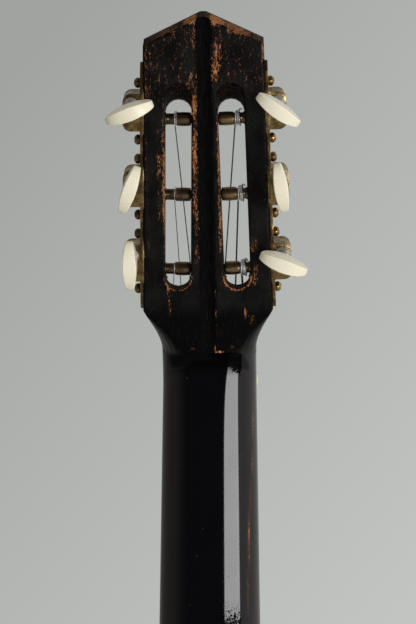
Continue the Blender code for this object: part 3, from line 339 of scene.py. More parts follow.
def add(tree, kind, inputs=None, **settings):
    node = tree.nodes.new(kind)
    for key, value in settings.items():
        setattr(node, key, value)
    for key, value in (inputs or {}).items():
        if isinstance(value, bpy.types.NodeSocket):
            tree.links.new(value, node.inputs[key])
        else:
            node.inputs[key].default_value = value
    return node


def feed(tree, sockets, **values):
    for key, value in values.items():
        tree.links.new(value, sockets[key.replace("_", " ")])


def start_group(name, inputs, outputs):
    tree = bpy.data.node_groups.new(name, "ShaderNodeTree")
    for way, sockets in (("INPUT", inputs), ("OUTPUT", outputs)):
        for label, kind in sockets.items():
            tree.interface.new_socket(label, in_out=way, socket_type=f"NodeSocket{kind}")
    return tree, tree.nodes.new("NodeGroupInput").outputs, tree.nodes.new("NodeGroupOutput").inputs


def use(tree, group, **inputs):
    return add(tree, "ShaderNodeGroup", inputs, node_tree=group).outputs


def math_of(tree, operation, *values):
    return add(tree, "ShaderNodeMath", dict(enumerate(values)), operation=operation).outputs[0]


def plus(tree, value, factor, more):
    """A value times a factor, and more."""
    return math_of(tree, "MULTIPLY_ADD", value, factor, more)


def vector_of(tree, operation, *values):
    return add(tree, "ShaderNodeVectorMath", dict(enumerate(values)), operation=operation).outputs


def scaled(tree, place, size):
    return vector_of(tree, "DIVIDE", place, size)[0]


def sized(tree, given, size):
    """The places that a group is given, measured in the size that it is given."""
    near = add(tree, "ShaderNodeVectorMath", {0: given["Place"]}, operation="SCALE")
    tree.links.new(math_of(tree, "DIVIDE", 1.0, given[size]), near.inputs["Scale"])
    return near.outputs[0]


def mapped(tree, place, **inputs):
    return add(tree, "ShaderNodeMapping", {"Vector": place, **inputs}).outputs[0]


def noise(tree, place, detail=2.0, **inputs):
    return add(tree, "ShaderNodeTexNoise", {"Vector": place, "Scale": 1.0, "Detail": detail, **inputs}).outputs["Fac"]


def painted(tree, name):
    return add(tree, "ShaderNodeAttribute", attribute_name=name).outputs["Fac"]


def ramp(tree, value, *stops):
    node = add(tree, "ShaderNodeValToRGB", {"Fac": value})
    band = node.color_ramp
    while len(band.elements) < len(stops):
        band.elements.new(0.5)
    for element, (place, colour) in zip(band.elements, stops):
        element.position = place
        element.color = (*colour, 1)
    return node.outputs["Color"]


def mixed(tree, share, first, second):
    first, second = ((*colour, 1) if isinstance(colour, tuple) else colour for colour in (first, second))
    return add(tree, "ShaderNodeMix", {0: share, 6: first, 7: second}, data_type="RGBA").outputs[2]


def between(tree, value, low, high, to_low=0.0, to_high=1.0, kind="SMOOTHSTEP"):
    inputs = {"Value": value, "From Min": low, "From Max": high, "To Min": to_low, "To Max": to_high}
    return add(tree, "ShaderNodeMapRange", inputs, interpolation_type=kind).outputs["Result"]


def spread(tree, share, low, high):
    """Evenly from one value to another as a share goes from 0 to 1."""
    return between(tree, share, 0, 1, low, high, "LINEAR")


def flecked_wear_group():
    """Lacquer rubbed through in flecks along the grain, more of them where Wear is high."""
    tree, given, out = start_group(
        "flecked_wear",
        {"Place": "Vector", "Wear": "Float"},
        {"Bare": "Float", "Thin": "Float", "Wood": "Color", "Grain": "Float"},
    )
    place = given["Place"]
    flecks = noise(tree, scaled(tree, place, (0.38 * MM, 0.38 * MM, 1.4 * MM)), 4.0, Roughness=0.70)
    drift = noise(tree, scaled(tree, place, (2.2 * MM, 2.2 * MM, 7.0 * MM)))
    both = plus(tree, drift, 0.35, flecks)
    need = plus(tree, given["Wear"], -0.62, 0.995)
    over = math_of(tree, "SUBTRACT", both, need)
    grain = noise(tree, scaled(tree, place, (0.32 * MM, 0.32 * MM, 5.0 * MM)), 4.0, Roughness=0.65)
    wood = ramp(
        tree,
        grain,
        (0.28, (0.070, 0.024, 0.009)),
        (0.44, (0.25, 0.088, 0.030)),
        (0.58, (0.50, 0.205, 0.080)),
        (0.74, (0.70, 0.36, 0.17)),
    )
    bare, thin = between(tree, over, -0.005, 0.04), between(tree, over, -0.11, 0.0)
    feed(tree, out, Bare=bare, Thin=thin, Wood=wood, Grain=grain)
    return tree


def handling_group():
    """Smudges, dust and fine scratches that dull a gloss here and there."""
    tree, given, out = start_group(
        "handling", {"Place": "Vector", "Size": "Float"}, {"Smudge": "Float", "Scratch": "Float", "Speck": "Float"}
    )
    place = sized(tree, given, "Size")
    soft = noise(tree, place, 5.0, Roughness=0.6)
    hair = noise(tree, scaled(tree, place, (0.012, 0.012, 0.5)), Distortion=0.4)
    dots = add(tree, "ShaderNodeTexVoronoi", {"Vector": scaled(tree, place, (0.16, 0.16, 0.16)), "Scale": 1.0})
    dot = between(tree, math_of(tree, "SUBTRACT", 0.10, dots.outputs["Distance"]), 0.0, 0.05)
    rare = between(tree, noise(tree, scaled(tree, place, (0.3, 0.3, 0.3))), 0.6, 0.63)
    feed(tree, out, Smudge=between(tree, soft, 0.35, 0.7), Scratch=between(tree, hair, 0.66, 0.74))
    feed(tree, out, Speck=math_of(tree, "MULTIPLY", dot, rare))
    return tree


def patina_group():
    """Old metal: bare and bright on top, brown in its spots, with faint rubbing marks."""
    tree, given, out = start_group(
        "patina", {"Place": "Vector", "Size": "Float"}, {"Brown": "Float", "Marks": "Float"}
    )
    place = sized(tree, given, "Size")
    brown = between(tree, noise(tree, place, 6.0, Roughness=0.68), 0.40, 0.64)
    feed(tree, out, Brown=brown, Marks=noise(tree, scaled(tree, place, (0.06, 0.5, 0.06)), 3.0))
    return tree


def grain_group():
    """Straight wood grain along Z: broad year rings and fine pores."""
    tree, given, out = start_group(
        "straight_grain", {"Place": "Vector", "Ring": "Float"}, {"Rings": "Float", "Pores": "Float"}
    )
    place = sized(tree, given, "Ring")
    warp = noise(tree, scaled(tree, place, (1.0, 1.0, 60.0)), Scale=0.6)
    across = add(tree, "ShaderNodeSeparateXYZ", {0: place}).outputs["X"]
    rings = math_of(tree, "FRACT", plus(tree, warp, 3.0, across))
    pores = noise(tree, scaled(tree, place, (0.12, 0.12, 4.0)), 3.0)
    feed(tree, out, Rings=between(tree, rings, 0.1, 1.0), Pores=pores)
    return tree


FLECKED_WEAR = flecked_wear_group()
HANDLING = handling_group()
PATINA = patina_group()
GRAIN = grain_group()


def start_finish(name, **sockets):
    finish = bpy.data.materials.new(name)
    finish.use_nodes = True
    tree = finish.node_tree
    shader = tree.nodes["Principled BSDF"]
    for key, value in sockets.items():
        shader.inputs[key.replace("_", " ")].default_value = value
    place = tree.nodes.new("ShaderNodeTexCoord").outputs["Object"]
    return finish, tree, shader.inputs, place


def bump(tree, sockets, height, strength, distance):
    node = add(tree, "ShaderNodeBump", {"Height": height, "Strength": strength, "Distance": distance})
    feed(tree, sockets, Normal=node.outputs["Normal"])


def worn_head_finish():
    """Black lacquer on the head, rubbed to the wood along edges and beside the groove."""
    finish, tree, sockets, place = start_finish("worn_black_head", Specular_IOR_Level=0.03, Coat_Roughness=0.33)
    upright = mapped(tree, place, Rotation=(HEAD_TILT, 0, 0))
    wear, dull, polish = (painted(tree, name) for name in ("wear", "dull", "polish"))
    worn = use(tree, FLECKED_WEAR, Place=upright, Wear=wear)
    smudge = use(tree, HANDLING, Place=upright, Size=14 * MM)["Smudge"]
    black = ramp(
        tree,
        worn["Grain"],
        (0.30, (0.0010, 0.0009, 0.0010)),
        (0.56, (0.0030, 0.0026, 0.0026)),
        (0.68, (0.0085, 0.0072, 0.0066)),
        (0.80, (0.030, 0.025, 0.022)),
    )
    black = mixed(tree, worn["Thin"], black, (0.018, 0.0085, 0.005))
    sheen = spread(tree, dull, spread(tree, smudge, 0.10, 0.44), 0.0)
    rough = plus(tree, dull, 0.3, spread(tree, smudge, 0.26, 0.40))
    feed(tree, sockets, Base_Color=mixed(tree, worn["Bare"], black, worn["Wood"]))
    feed(tree, sockets, Coat_Weight=math_of(tree, "MAXIMUM", sheen, polish))
    feed(tree, sockets, Roughness=plus(tree, worn["Bare"], 0.25, rough))
    height = plus(tree, worn["Bare"], -0.8, math_of(tree, "MULTIPLY", worn["Grain"], 0.7))
    bump(tree, sockets, height, 0.5, 0.16 * MM)
    return finish


def gloss_neck_finish(name, brown):
    """Polished black lacquer with a few rubbed streaks and specks."""
    finish, tree, sockets, place = start_finish(name, Specular_IOR_Level=0.01, Coat_Roughness=0.07)
    wear, dull, matt = (painted(tree, name) for name in ("wear", "dull", "matt"))
    worn = use(tree, FLECKED_WEAR, Place=place, Wear=wear)
    touch = use(tree, HANDLING, Place=place, Size=22 * MM)
    smudge, scratch, speck = touch["Smudge"], touch["Scratch"], touch["Speck"]
    ragged = noise(tree, scaled(tree, place, (0.9 * MM, 0.9 * MM, 0.9 * MM)), 4.0)
    dull = between(tree, math_of(tree, "ADD", ragged, dull), 0.95, 1.05)
    dull = math_of(tree, "MAXIMUM", dull, speck)
    shine = spread(tree, matt, between(tree, smudge, 0, 1, 1.0, 0.94), 0.12)
    black = mixed(tree, math_of(tree, "MULTIPLY", smudge, 0.5), (0.0008, 0.0009, 0.0013), (0.0020, 0.0019, 0.0022))
    black = mixed(tree, math_of(tree, "MULTIPLY", speck, 0.35), black, (0.16, 0.15, 0.14))
    stain = mixed(tree, between(tree, wear, 0.05, 0.45, 0.0, brown), black, (0.040, 0.016, 0.011))
    rough = plus(tree, scratch, 0.06, spread(tree, smudge, 0.055, 0.12))
    rough = plus(tree, dull, 0.2, rough)
    feed(tree, sockets, Base_Color=mixed(tree, worn["Bare"], stain, worn["Wood"]))
    feed(tree, sockets, Coat_Weight=spread(tree, dull, shine, 0.0))
    feed(tree, sockets, Roughness=plus(tree, worn["Bare"], 0.3, rough))
    height = plus(tree, scratch, -0.2, speck)
    bump(tree, sockets, plus(tree, worn["Bare"], -0.6, height), 0.35, 0.08 * MM)
    return finish


def metal_finish(name, bright, brown, low, high, size, metal=1.0):
    """Old metal, bright and brown, with its roughness where bright and where brown."""
    finish, tree, sockets, place = start_finish(name, Metallic=metal)
    old = use(tree, PATINA, Place=place, Size=size)
    colour = mixed(tree, old["Brown"], bright, brown)
    colour = mixed(tree, between(tree, old["Marks"], 0.52, 0.72, 0.0, 0.35), colour, bright)
    feed(tree, sockets, Base_Color=colour, Roughness=spread(tree, old["Brown"], low, high))
    bump(tree, sockets, old["Marks"], 0.12, 0.06 * MM)
    return finish


def ivory_finish():
    """Grained ivory plastic: cream, with faint straight lines and a waxy depth."""
    finish, tree, sockets, place = start_finish(
        "ivory_button",
        Specular_IOR_Level=0.4,
        Subsurface_Weight=0.12,
        Subsurface_Scale=1.5 * MM,
        Subsurface_Radius=(1.0, 0.8, 0.5),
    )
    lines = use(tree, GRAIN, Place=mapped(tree, place, Rotation=(0.3, 0.5, 0)), Ring=1.1 * MM)
    smudge = use(tree, HANDLING, Place=place, Size=9 * MM)["Smudge"]
    cream = mixed(tree, between(tree, lines["Rings"], 0, 1, 0.0, 0.45), (0.85, 0.80, 0.635), (0.80, 0.735, 0.545))
    cream = mixed(tree, between(tree, smudge, 0, 1, 0.0, 0.35), cream, (0.76, 0.69, 0.49))
    feed(tree, sockets, Base_Color=cream, Roughness=spread(tree, smudge, 0.24, 0.40))
    bump(tree, sockets, lines["Pores"], 0.08, 0.05 * MM)
    return finish


def wood_finish(name, light, dark, ring, roughness, shine):
    """Straight-grained wood or bone, light and dark in its rings."""
    finish, tree, sockets, place = start_finish(name, Specular_IOR_Level=shine)
    grain = use(tree, GRAIN, Place=place, Ring=ring)
    smudge = use(tree, HANDLING, Place=place, Size=60 * MM)["Smudge"]
    colour = mixed(tree, grain["Rings"], light, dark)
    colour = mixed(tree, between(tree, grain["Pores"], 0.5, 0.75, 0.0, 0.5), colour, tuple(0.55 * c for c in dark))
    feed(tree, sockets, Base_Color=colour, Roughness=spread(tree, smudge, roughness - 0.06, roughness + 0.08))
    bump(tree, sockets, grain["Pores"], 0.15, 0.08 * MM)
    return finish


def wire_finish(name, colour, relief, metal=1.0):
    """Drawn steel wire, or wire wrapped in fine turns that stand out more."""
    finish, tree, sockets, place = start_finish(name, Metallic=metal)
    brown = use(tree, PATINA, Place=place, Size=3 * MM)["Brown"]
    worn = mixed(tree, brown, colour, tuple(0.45 * c for c in colour))
    feed(tree, sockets, Base_Color=worn, Roughness=spread(tree, brown, 0.22, 0.42))
    turns = add(tree, "ShaderNodeTexWave", {"Vector": place, "Scale": 640.0}, bands_direction="Z")
    bump(tree, sockets, turns.outputs["Fac"], relief, 0.06 * MM)
    return finish


def rosette_finish():
    """Rings of dark and light wood round the soundhole."""
    finish, tree, sockets, place = start_finish("rosette_rings", Specular_IOR_Level=0.4)
    flat = vector_of(tree, "MULTIPLY", mapped(tree, place, Location=(0, 0, -HOLE_Z)), (1, 0, 1))[0]
    far = vector_of(tree, "LENGTH", flat)["Value"]
    dark, pale = (0.02, 0.012, 0.008), (0.55, 0.42, 0.24)
    rings = ramp(
        tree,
        between(tree, far, INLAY_INNER, INLAY_OUTER, kind="LINEAR"),
        (0.0, dark),
        (0.12, pale),
        (0.17, dark),
        (0.24, (0.16, 0.055, 0.028)),
        (0.76, (0.13, 0.045, 0.024)),
        (0.82, dark),
        (0.88, pale),
        (0.93, dark),
    )
    rings.node.color_ramp.interpolation = "CONSTANT"
    pores = use(tree, GRAIN, Place=place, Ring=2 * MM)["Pores"]
    colour = mixed(tree, between(tree, pores, 0.45, 0.7, 0.0, 0.5), rings, (0.03, 0.015, 0.01))
    feed(tree, sockets, Base_Color=colour, Roughness=spread(tree, pores, 0.25, 0.4))
    return finish


BLACK_HEAD = worn_head_finish()
BLACK_NECK = gloss_neck_finish("gloss_black_neck", 0.9)
BLACK_BODY = gloss_neck_finish("gloss_black_body", 0.5)
PLATE_BRASS = metal_finish("plate_brass", (0.38, 0.255, 0.098), (0.12, 0.070, 0.034), 0.24, 0.46, 4 * MM)
SCREW_BRASS = metal_finish("screw_brass", (0.52, 0.35, 0.125), (0.19, 0.115, 0.048), 0.17, 0.34, 4 * MM)
POST_BRASS = metal_finish("post_brass", (0.37, 0.255, 0.115), (0.15, 0.094, 0.048), 0.28, 0.46, 5 * MM)
# A darker copy of the post brass: painted shade for the treble-side posts and screws, which face away from the soft
# box
SHADED_BRASS = metal_finish("brass_painted_shade", (0.22, 0.145, 0.082), (0.085, 0.056, 0.036), 0.30, 0.48, 5 * MM)
STEM_STEEL = metal_finish("stem_steel", (0.52, 0.50, 0.44), (0.26, 0.235, 0.18), 0.34, 0.52, 3 * MM, 0.65)
FRET_METAL = metal_finish("fret_metal", (0.62, 0.60, 0.54), (0.42, 0.38, 0.30), 0.2, 0.34, 4 * MM)
IVORY = ivory_finish()
PLAIN_WIRE = wire_finish("plain_wire", (0.30, 0.30, 0.30), 0.05)
WOUND_WIRE = wire_finish("wound_wire", (0.22, 0.21, 0.19), 0.2)
# A paler copy of the string wire for the turns on the posts: a painted highlight on the turns
HIGHLIT_TURN_WIRE = wire_finish("turn_wire_painted_highlight", (0.80, 0.79, 0.80), 0.05, 0.55)
EBONY = wood_finish("ebony", (0.018, 0.013, 0.011), (0.009, 0.007, 0.006), 2.2 * MM, 0.36, 0.35)
BONE = wood_finish("bone", (0.74, 0.68, 0.53), (0.66, 0.58, 0.42), 1.6 * MM, 0.34, 0.45)
SPRUCE = wood_finish("spruce_top", (0.66, 0.40, 0.165), (0.50, 0.265, 0.095), 1.5 * MM, 0.26, 0.5)
SPRUCE_BAR = wood_finish("spruce_bar", (0.62, 0.42, 0.22), (0.50, 0.31, 0.14), 1.5 * MM, 0.62, 0.3)
CEDAR = wood_finish("cedar_inside", (0.40, 0.22, 0.115), (0.30, 0.15, 0.07), 2.4 * MM, 0.66, 0.3)
ROSETTE = rosette_finish()


# Wear, painted on the points of a piece


def per_point(obj, key):
    values = numpy.empty(len(obj.data.vertices) * 3)
    obj.data.vertices.foreach_get(key, values)
    return values.reshape(-1, 3)


def rise(values, start, run):
    """From 0 at a start to 1 at the end of a run, upward or downward."""
    return numpy.clip((values - start) / run, 0, 1)


def edge_wear(obj, reach, full):
    """How far each point stands out from its neighbours: worn first on outer edges."""
    spots = per_point(obj, "co")
    pairs = numpy.empty(len(obj.data.edges) * 2, dtype=numpy.int64)
    obj.data.edges.foreach_get("vertices", pairs)
    count = numpy.bincount(pairs, minlength=len(spots))[:, None]
    one, other = pairs.reshape(-1, 2).T

    def mean(values):
        total = numpy.zeros_like(values)
        numpy.add.at(total, one, values[other])
        numpy.add.at(total, other, values[one])
        return total / numpy.maximum(count, 1)

    out = ((spots - mean(spots)) * per_point(obj, "normal")).sum(axis=1)
    worn = rise(out, 0, full)[:, None]
    for _ in range(reach):
        worn = numpy.maximum(worn * 0.92, mean(worn))
    return worn[:, 0]


def rubbed(spots, patches):
    """Wear from soft patches, each a middle (x, z), half sizes and a strength."""
    total = numpy.zeros(len(spots))
    for x, z, half_x, half_z, strength in patches:
        away = ((spots[:, 0] - x * MM) / (half_x * MM)) ** 2 + ((spots[:, 2] - z * MM) / (half_z * MM)) ** 2
        total = numpy.maximum(total, strength * numpy.exp(-0.9 * away**1.5))
    return total


def paint(obj, name, values):
    layer = obj.data.attributes.new(name, "FLOAT", "POINT")
    layer.data.foreach_set("value", numpy.clip(values, 0, 1).astype(numpy.float32))


# Head and neck

# Above the slots and on the roof's edge, on the bar between the slots, along the outer edges, at the slots' foot, at
# the joint
HEAD_PATCHES = (
    (-7.0, 173, 3.6, 13, 0.50), (-5.6, 165, 2.4, 7, 0.54), (6.0, 162.5, 3.6, 8, 0.46), (8.6, 158, 3.6, 6, 0.40),
    (4.8, 182, 2.2, 12, 0.40), (5.5, 191, 4.0, 3.0, 0.62), (-6.8, 190.5, 4.2, 3.4, 0.62), (-17, 185.5, 8, 2.2, 0.50),
    (16, 186, 10, 1.4, 0.40), (5.0, 147, 2.2, 14, 0.54), (5.1, 124, 2.1, 22, 0.54), (5.3, 94, 1.9, 18, 0.50),
    (5.5, 72, 1.8, 12, 0.42), (-6.8, 124, 1.2, 38, 0.54), (-6.9, 85, 1.3, 24, 0.52), (29, 160, 1.0, 22, 0.46),
    (26.5, 172, 3, 7, 0.38), (-29.6, 175, 1.2, 8, 0.46), (21.2, 108, 1.3, 48, 0.58), (23.4, 113, 2.2, 34, 0.36),
    (29.8, 111.4, 0.7, 60, 0.36), (-24, 75.5, 2.2, 5, 0.56), (-24.5, 60, 3.4, 8, 0.42), (20.3, 55, 1.6, 5, 0.52),
    (19.7, 46.3, 0.6, 10.5, 0.50), (-3.9, 39.3, 0.5, 11, 0.46), (-19, 40, 0.8, 4.5, 0.60), (-22, 37, 2.6, 3.5, 0.40),
    (-3.2, 22.4, 0.6, 3.4, 0.70), (-5.6, 19.6, 2.8, 0.7, 0.70), (-11.5, 22, 2.0, 1.6, 0.42),
    (-18, 21.5, 2.0, 1.5, 0.38), (8.5, 21.5, 1.2, 1.2, 0.38),
)
ROOF_PATCHES = (
    (6.0, 191, 5.5, 30, 0.62), (19, 185, 10, 30, 0.44), (-6.5, 191, 6.5, 30, 0.64), (-17, 185, 9, 30, 0.54),
    (-28, 180, 5, 30, 0.40), (0, 192, 4, 30, 0.36),
)
# Streaks down the bass side of the neck
NECK_PATCHES = (
    (-22.5, -18, 0.8, 12, 0.38), (-22.3, -40, 0.8, 9, 0.36), (-21.2, -58, 0.8, 12, 0.32), (-20.4, -81, 0.9, 17, 0.50),
    (-20.0, -109, 0.8, 13, 0.36),
)
# Rings of the neck from the head down: height of the first and step in millimetres, and number
NECK_RINGS = ((16.5, 1.5, 12), (-3, 3, 15), (-51, 6, 21), (-193, 22, 3))
HEEL_SHARES = (0, 0.15, 0.28, 0.4, 0.5, 0.59, 0.67, 0.74, 0.8, 0.85, 0.89, 0.925, 0.955, 0.98, 0.994, 1)
# Rings of the neck above this level follow the joint
JOINT_FROM = 1 * MM


def neck_half(z):
    return NUT_HALF - min(z, 0) * NECK_GAIN


def neck_shape(z):
    """Depth behind the fingerboard and half width of the flat crown."""
    depth = NECK_DEPTH + NECK_DEPTH_GAIN * limited(z / BODY_TOP)
    heel = limited((HEEL_TOP - z) / HEEL_RUN)
    depth += (HEEL_DEPTH - depth) * (1 - math.sqrt(1 - heel**2))
    flat = CROWN_FLAT_LEAST + (CROWN_FLAT - CROWN_FLAT_LEAST) * math.exp((z - JOINT_Z) / CROWN_RUN)
    return depth, flat + HEEL_FLAT * max(0.0, 2 * heel - 1)


def head_half(along):
    share = max(0.0, (along - FLARE_FOOT) / (FLARE_TOP - FLARE_FOOT))
    return NUT_HALF + (side_half(FLARE_TOP) - NUT_HALF) * share**FLARE_CURVE


def joint_point(angle, z):
    """A point on the hollow where neck and head flow into each other, at a height above the nut."""
    depth, flat = neck_shape(z)
    half = neck_half(z)
    neck_x = flat + (half - flat) * math.cos(angle)
    neck_y = NECK_SIDE + (depth - NECK_SIDE) * math.sin(angle)
    foot_side = SIDE_SHARE * HEAD_THICK
    deep = HEAD_THICK
    for _ in range(6):
        along = (z - HEAD_FOOT + deep * math.sin(HEAD_TILT)) / math.cos(HEAD_TILT)
        share = limited((along - FLARE_FOOT) / FLARE_ROUND) ** FLARE_ROUND_CURVE
        side = foot_side + (HEAD_THICK - HEAD_EDGE - foot_side) * share
        deep = side + (HEAD_THICK - side) * math.sin(angle)
    half = head_half(along)
    flat = CROWN_FLAT + (half - HEAD_EDGE - CROWN_FLAT) * share
    head_x = flat + (half - flat) * math.cos(angle)
    head_y = (z - HEAD_FOOT) * math.tan(HEAD_TILT) + deep / math.cos(HEAD_TILT)
    near = max(HOLLOW - abs(head_y - neck_y), 0) / HOLLOW
    on_head = limited(1 + (head_y - neck_y) / (1.5 * MM))
    return neck_x + (head_x - neck_x) * on_head, max(neck_y, head_y) + near**2 * HOLLOW / 4


def make_head():
    head = from_solid("head_wood", "head", flat=False)
    modify(head, "REMESH", mode="VOXEL", voxel_size=0.64 * MM)
    modify(head, "SMOOTH", factor=0.5, iterations=1)
    # The foot is drawn up to the neck's crown
    spots = per_point(head, "co")
    depth, flat = neck_shape(JOINT_Z)
    bow = rise(numpy.abs(spots[:, 0]), flat, neck_half(0) - flat)
    crown = NECK_SIDE + (depth - NECK_SIDE) * numpy.sqrt(1 - bow**2)
    near = rise(numpy.abs(spots[:, 1] - crown), HOLLOW, -HOLLOW) * (spots[:, 2] < 30 * MM)
    spots[:, 1] += near**2 * HOLLOW / 4
    head.data.vertices.foreach_set("co", spots.ravel())
    only(head)
    bpy.ops.object.shade_smooth()

    # Places and directions on the head, upright
    back = numpy.array(HEAD.inverted())
    spots = spots @ back[:3, :3].T + back[:3, 3]
    x, y, z = spots.T
    to_side, to_back, to_top = (per_point(head, "normal") @ back[:3, :3].T).T
    middle = numpy.abs(x)
    edges = edge_wear(head, 2, 0.12 * MM)
    on_back = rise(y, 13.2 * MM, 1.5 * MM)
    roof = rise(to_top, 0.6, 0.2) * (z > 170 * MM)
    high = numpy.clip((z - 30 * MM) / (20 * MM), 0.15, 1)
    base = 0.12 + 0.06 * rise(z, 35 * MM, 20 * MM) + 0.10 * rise(z, 140 * MM, 20 * MM)
    slot_rim = edges * (z > 44 * MM) * (z < 60 * MM) * (middle < 23 * MM)
    slot_sill = rise(to_top, 0.4, 0.3) * (z > 44 * MM) * (z < 62 * MM)
    slot_end = rise(to_top, -0.2, -0.3) * (z > 135 * MM) * (y < 15.5 * MM)
    groove = (middle < 3.4 * MM) & (y < 15.95 * MM)
    wear = numpy.maximum.reduce(
        (
            rubbed(spots, HEAD_PATCHES) * on_back,
            edges * high * (0.26 + 0.20 * on_back),
            roof * rubbed(spots, ROOF_PATCHES),
            0.50 * roof * rise(y, 4 * MM, -1 * MM),
            numpy.clip(2.5 * slot_rim, 0, 1) * numpy.where(x < 0, 0.60, 0.48),
            0.36 * slot_sill,
            base * on_back,
        )
    )
    wear *= numpy.where(groove, 0.3, 1.0)
    paint(head, "wear", numpy.maximum.reduce((wear, 0.37 * roof * (middle < 5 * MM), 0.32 * slot_end)))
    low = rise(z, 46 * MM, -8 * MM)
    paint(head, "dull", 1 - rise(to_back, 0.93, 0.05) * (middle >= 4.4 * MM) * (1 - low))
    paint(head, "polish", 0.95 * low * rise(numpy.abs(to_side), 0.35, 0.3) * (middle > 8 * MM))
    put(head, "guitar", "black_lacquer", BLACK_HEAD, "head")

    veneer = refined("head_face", "head_veneer", 0.25 * MM)
    put(veneer, "guitar", "ebony", EBONY, "head_veneer")


def make_neck():
    """A half-round bar, drawn out ring by ring and shaped at each: joint, crown, taper and heel."""
    levels = [(first - step * i) * MM for first, step, count in NECK_RINGS for i in range(count)]
    levels += [HEEL_TOP - HEEL_RUN * share for share in HEEL_SHARES]
    levels.append(BODY_TOP + 0.3 * MM)
    neck = disc("neck_wood", 90, 1, location=(0, 0, levels[0]), rotation=(0, 0, math.radians(2)))
    edit(neck)
    bpy.ops.mesh.bisect(plane_co=(0, 0.001, 0), plane_no=(0, -1, 0), use_fill=False, clear_outer=True)
    pick_all()
    bpy.ops.mesh.edge_face_add()
    pick_all()
    for above, level in zip(levels, levels[1:]):
        extrude((0, 0, level - above))
    for level in levels:
        if level > JOINT_FROM:
            continue
        depth, flat = neck_shape(level)
        half = neck_half(level)
        pick(neck, lambda spot: abs(spot.z - level) < 0.05 * MM)
        bpy.ops.transform.resize(value=(half, depth - NECK_SIDE, 1), center_override=(0, 0, level))
        bpy.ops.transform.translate(value=(0, NECK_SIDE, 0))
        for side in (1, -1):
            pick(neck, lambda spot: abs(spot.z - level) < 0.05 * MM and side * spot.x > 0)
            narrow = (half - flat) / half
            bpy.ops.transform.resize(value=(narrow, 1, 1), center_override=(side * half, 0, level))
    bm = bmesh.from_edit_mesh(neck.data)
    for vert in bm.verts:
        if vert.co.z > JOINT_FROM:
            x, y = joint_point(math.atan2(vert.co.y, abs(vert.co.x)), vert.co.z)
            lean = (vert.co.z - HEAD_FOOT) * math.tan(HEAD_LEAN) * limited(vert.co.z / (12 * MM))
            vert.co = (math.copysign(x, vert.co.x) + lean, y + 0.05 * MM, vert.co.z)
    bmesh.update_edit_mesh(neck.data)
    face_outward()
    # The flat front is drawn out to the fingerboard, and cut back behind the head
    pick_none()
    bm = bmesh.from_edit_mesh(neck.data)
    for face in bm.faces:
        face.select_set(face.normal.y < -0.7)
    bmesh.update_edit_mesh(neck.data)
    extrude((0, -NECK_SIDE, 0))
    bpy.ops.transform.resize(value=(1, 0, 1), center_override=(0, 0, 0))
    for level in levels:
        if level > JOINT_FROM:
            pick(neck, lambda spot: abs(spot.z - level) < 0.05 * MM and abs(spot.y) < 0.01 * MM)
            inside = max(0.0, level - HEAD_FOOT) * math.tan(HEAD_TILT) + 1.8 * MM
            bpy.ops.transform.translate(value=(0, inside, 0))
    pick_all()
    bpy.ops.mesh.remove_doubles(threshold=0.005 * MM)
    face_outward()
    leave()
    smooth(neck, 40)

    # The polish ends raggedly at the joint, is scuffed further down, and is matt on the crown above
    spots = per_point(neck, "co")
    x, _, z = spots.T
    aside = numpy.abs(x + 11.6 * MM)
    foot = rise(z - 0.7 * (x + 11.2 * MM), 3.5 * MM, 10 * MM) * rise(aside, 5.74 * MM, -1.4 * MM)
    scuffs = 0.62 * rise(z, -97 * MM, -28 * MM) * rise(z, -145 * MM, 20 * MM) * rise(aside, 8.8 * MM, -4 * MM)
    crown = rise(per_point(neck, "normal")[:, 1], 0.5, 0.25) * rise(x, -16 * MM, 2 * MM)
    paint(neck, "wear", rubbed(spots, NECK_PATCHES))
    paint(neck, "dull", numpy.maximum(foot, scuffs))
    paint(neck, "matt", crown * rise(z, 5 * MM, 5 * MM))
    put(neck, "guitar", "black_lacquer", BLACK_NECK, "neck")

    cap = refined("heel_cap_wood", "heel_cap", 0.4 * MM)
    put(cap, "guitar", "ebony", EBONY, "heel_cap")


def fret_z(number):
    return -SCALE * (1 - 2 ** (-number / 12))


def make_fingerboard():
    end = fret_z(FRET_COUNT) - 4 * MM
    gap = 0.3 * MM
    wood = new_piece(
        "fingerboard_wood",
        "cube",
        size=1,
        location=(0, (BOARD_FRONT + BOARD_BACK) / 2, (end - gap) / 2),
        scale=(2 * neck_half(0), BOARD_BACK - BOARD_FRONT, -end - gap),
    )
    edit(wood)
    pick(wood, lambda spot: spot.z < end / 2)
    bpy.ops.transform.resize(value=(neck_half(end) / neck_half(0), 1, 1), center_override=(0, 0, end))
    leave()
    round_edges(wood, 0.35 * MM)
    smooth(wood)
    put(wood, "guitar", "ebony", EBONY, "fingerboard")

    wire = new_piece("fret_wire", "cylinder", vertices=20, radius=1.15 * MM, depth=1, rotation=(0, math.pi / 2, 0))
    edit(wire)
    bpy.ops.mesh.bisect(plane_co=(0, 0.1 * MM, 0), plane_no=(0, 1, 0), use_fill=True, clear_outer=True)
    leave()
    frets = []
    for number in range(1, FRET_COUNT + 1):
        z = fret_z(number)
        fret = copy_of(wire, f"fret_{number}")
        width = 2 * neck_half(z) - 0.6 * MM
        settle(fret, Matrix.Translation((0, BOARD_FRONT, z)) @ Matrix.Diagonal((width, 0.87, 1, 1)))
        round_edges(fret, 0.3 * MM, 2, 60)
        frets.append(fret)
    clear_away(wire)
    frets = join(frets, "fret_wires")
    smooth(frets, 50)
    put(frets, "guitar", "string_wire", FRET_METAL)

    nut = from_solid("nut_bone", "nut")
    round_edges(nut, 0.22 * MM)
    edit(nut)
    pick(nut, lambda spot: spot.x < -24 * MM)
    bpy.ops.transform.translate(value=(-0.55 * MM, 0, 0))
    leave()
    smooth(nut)
    put(nut, "guitar", "bone", BONE, "nut")


# Tuners, with the places and radii of turned shapes in millimetres

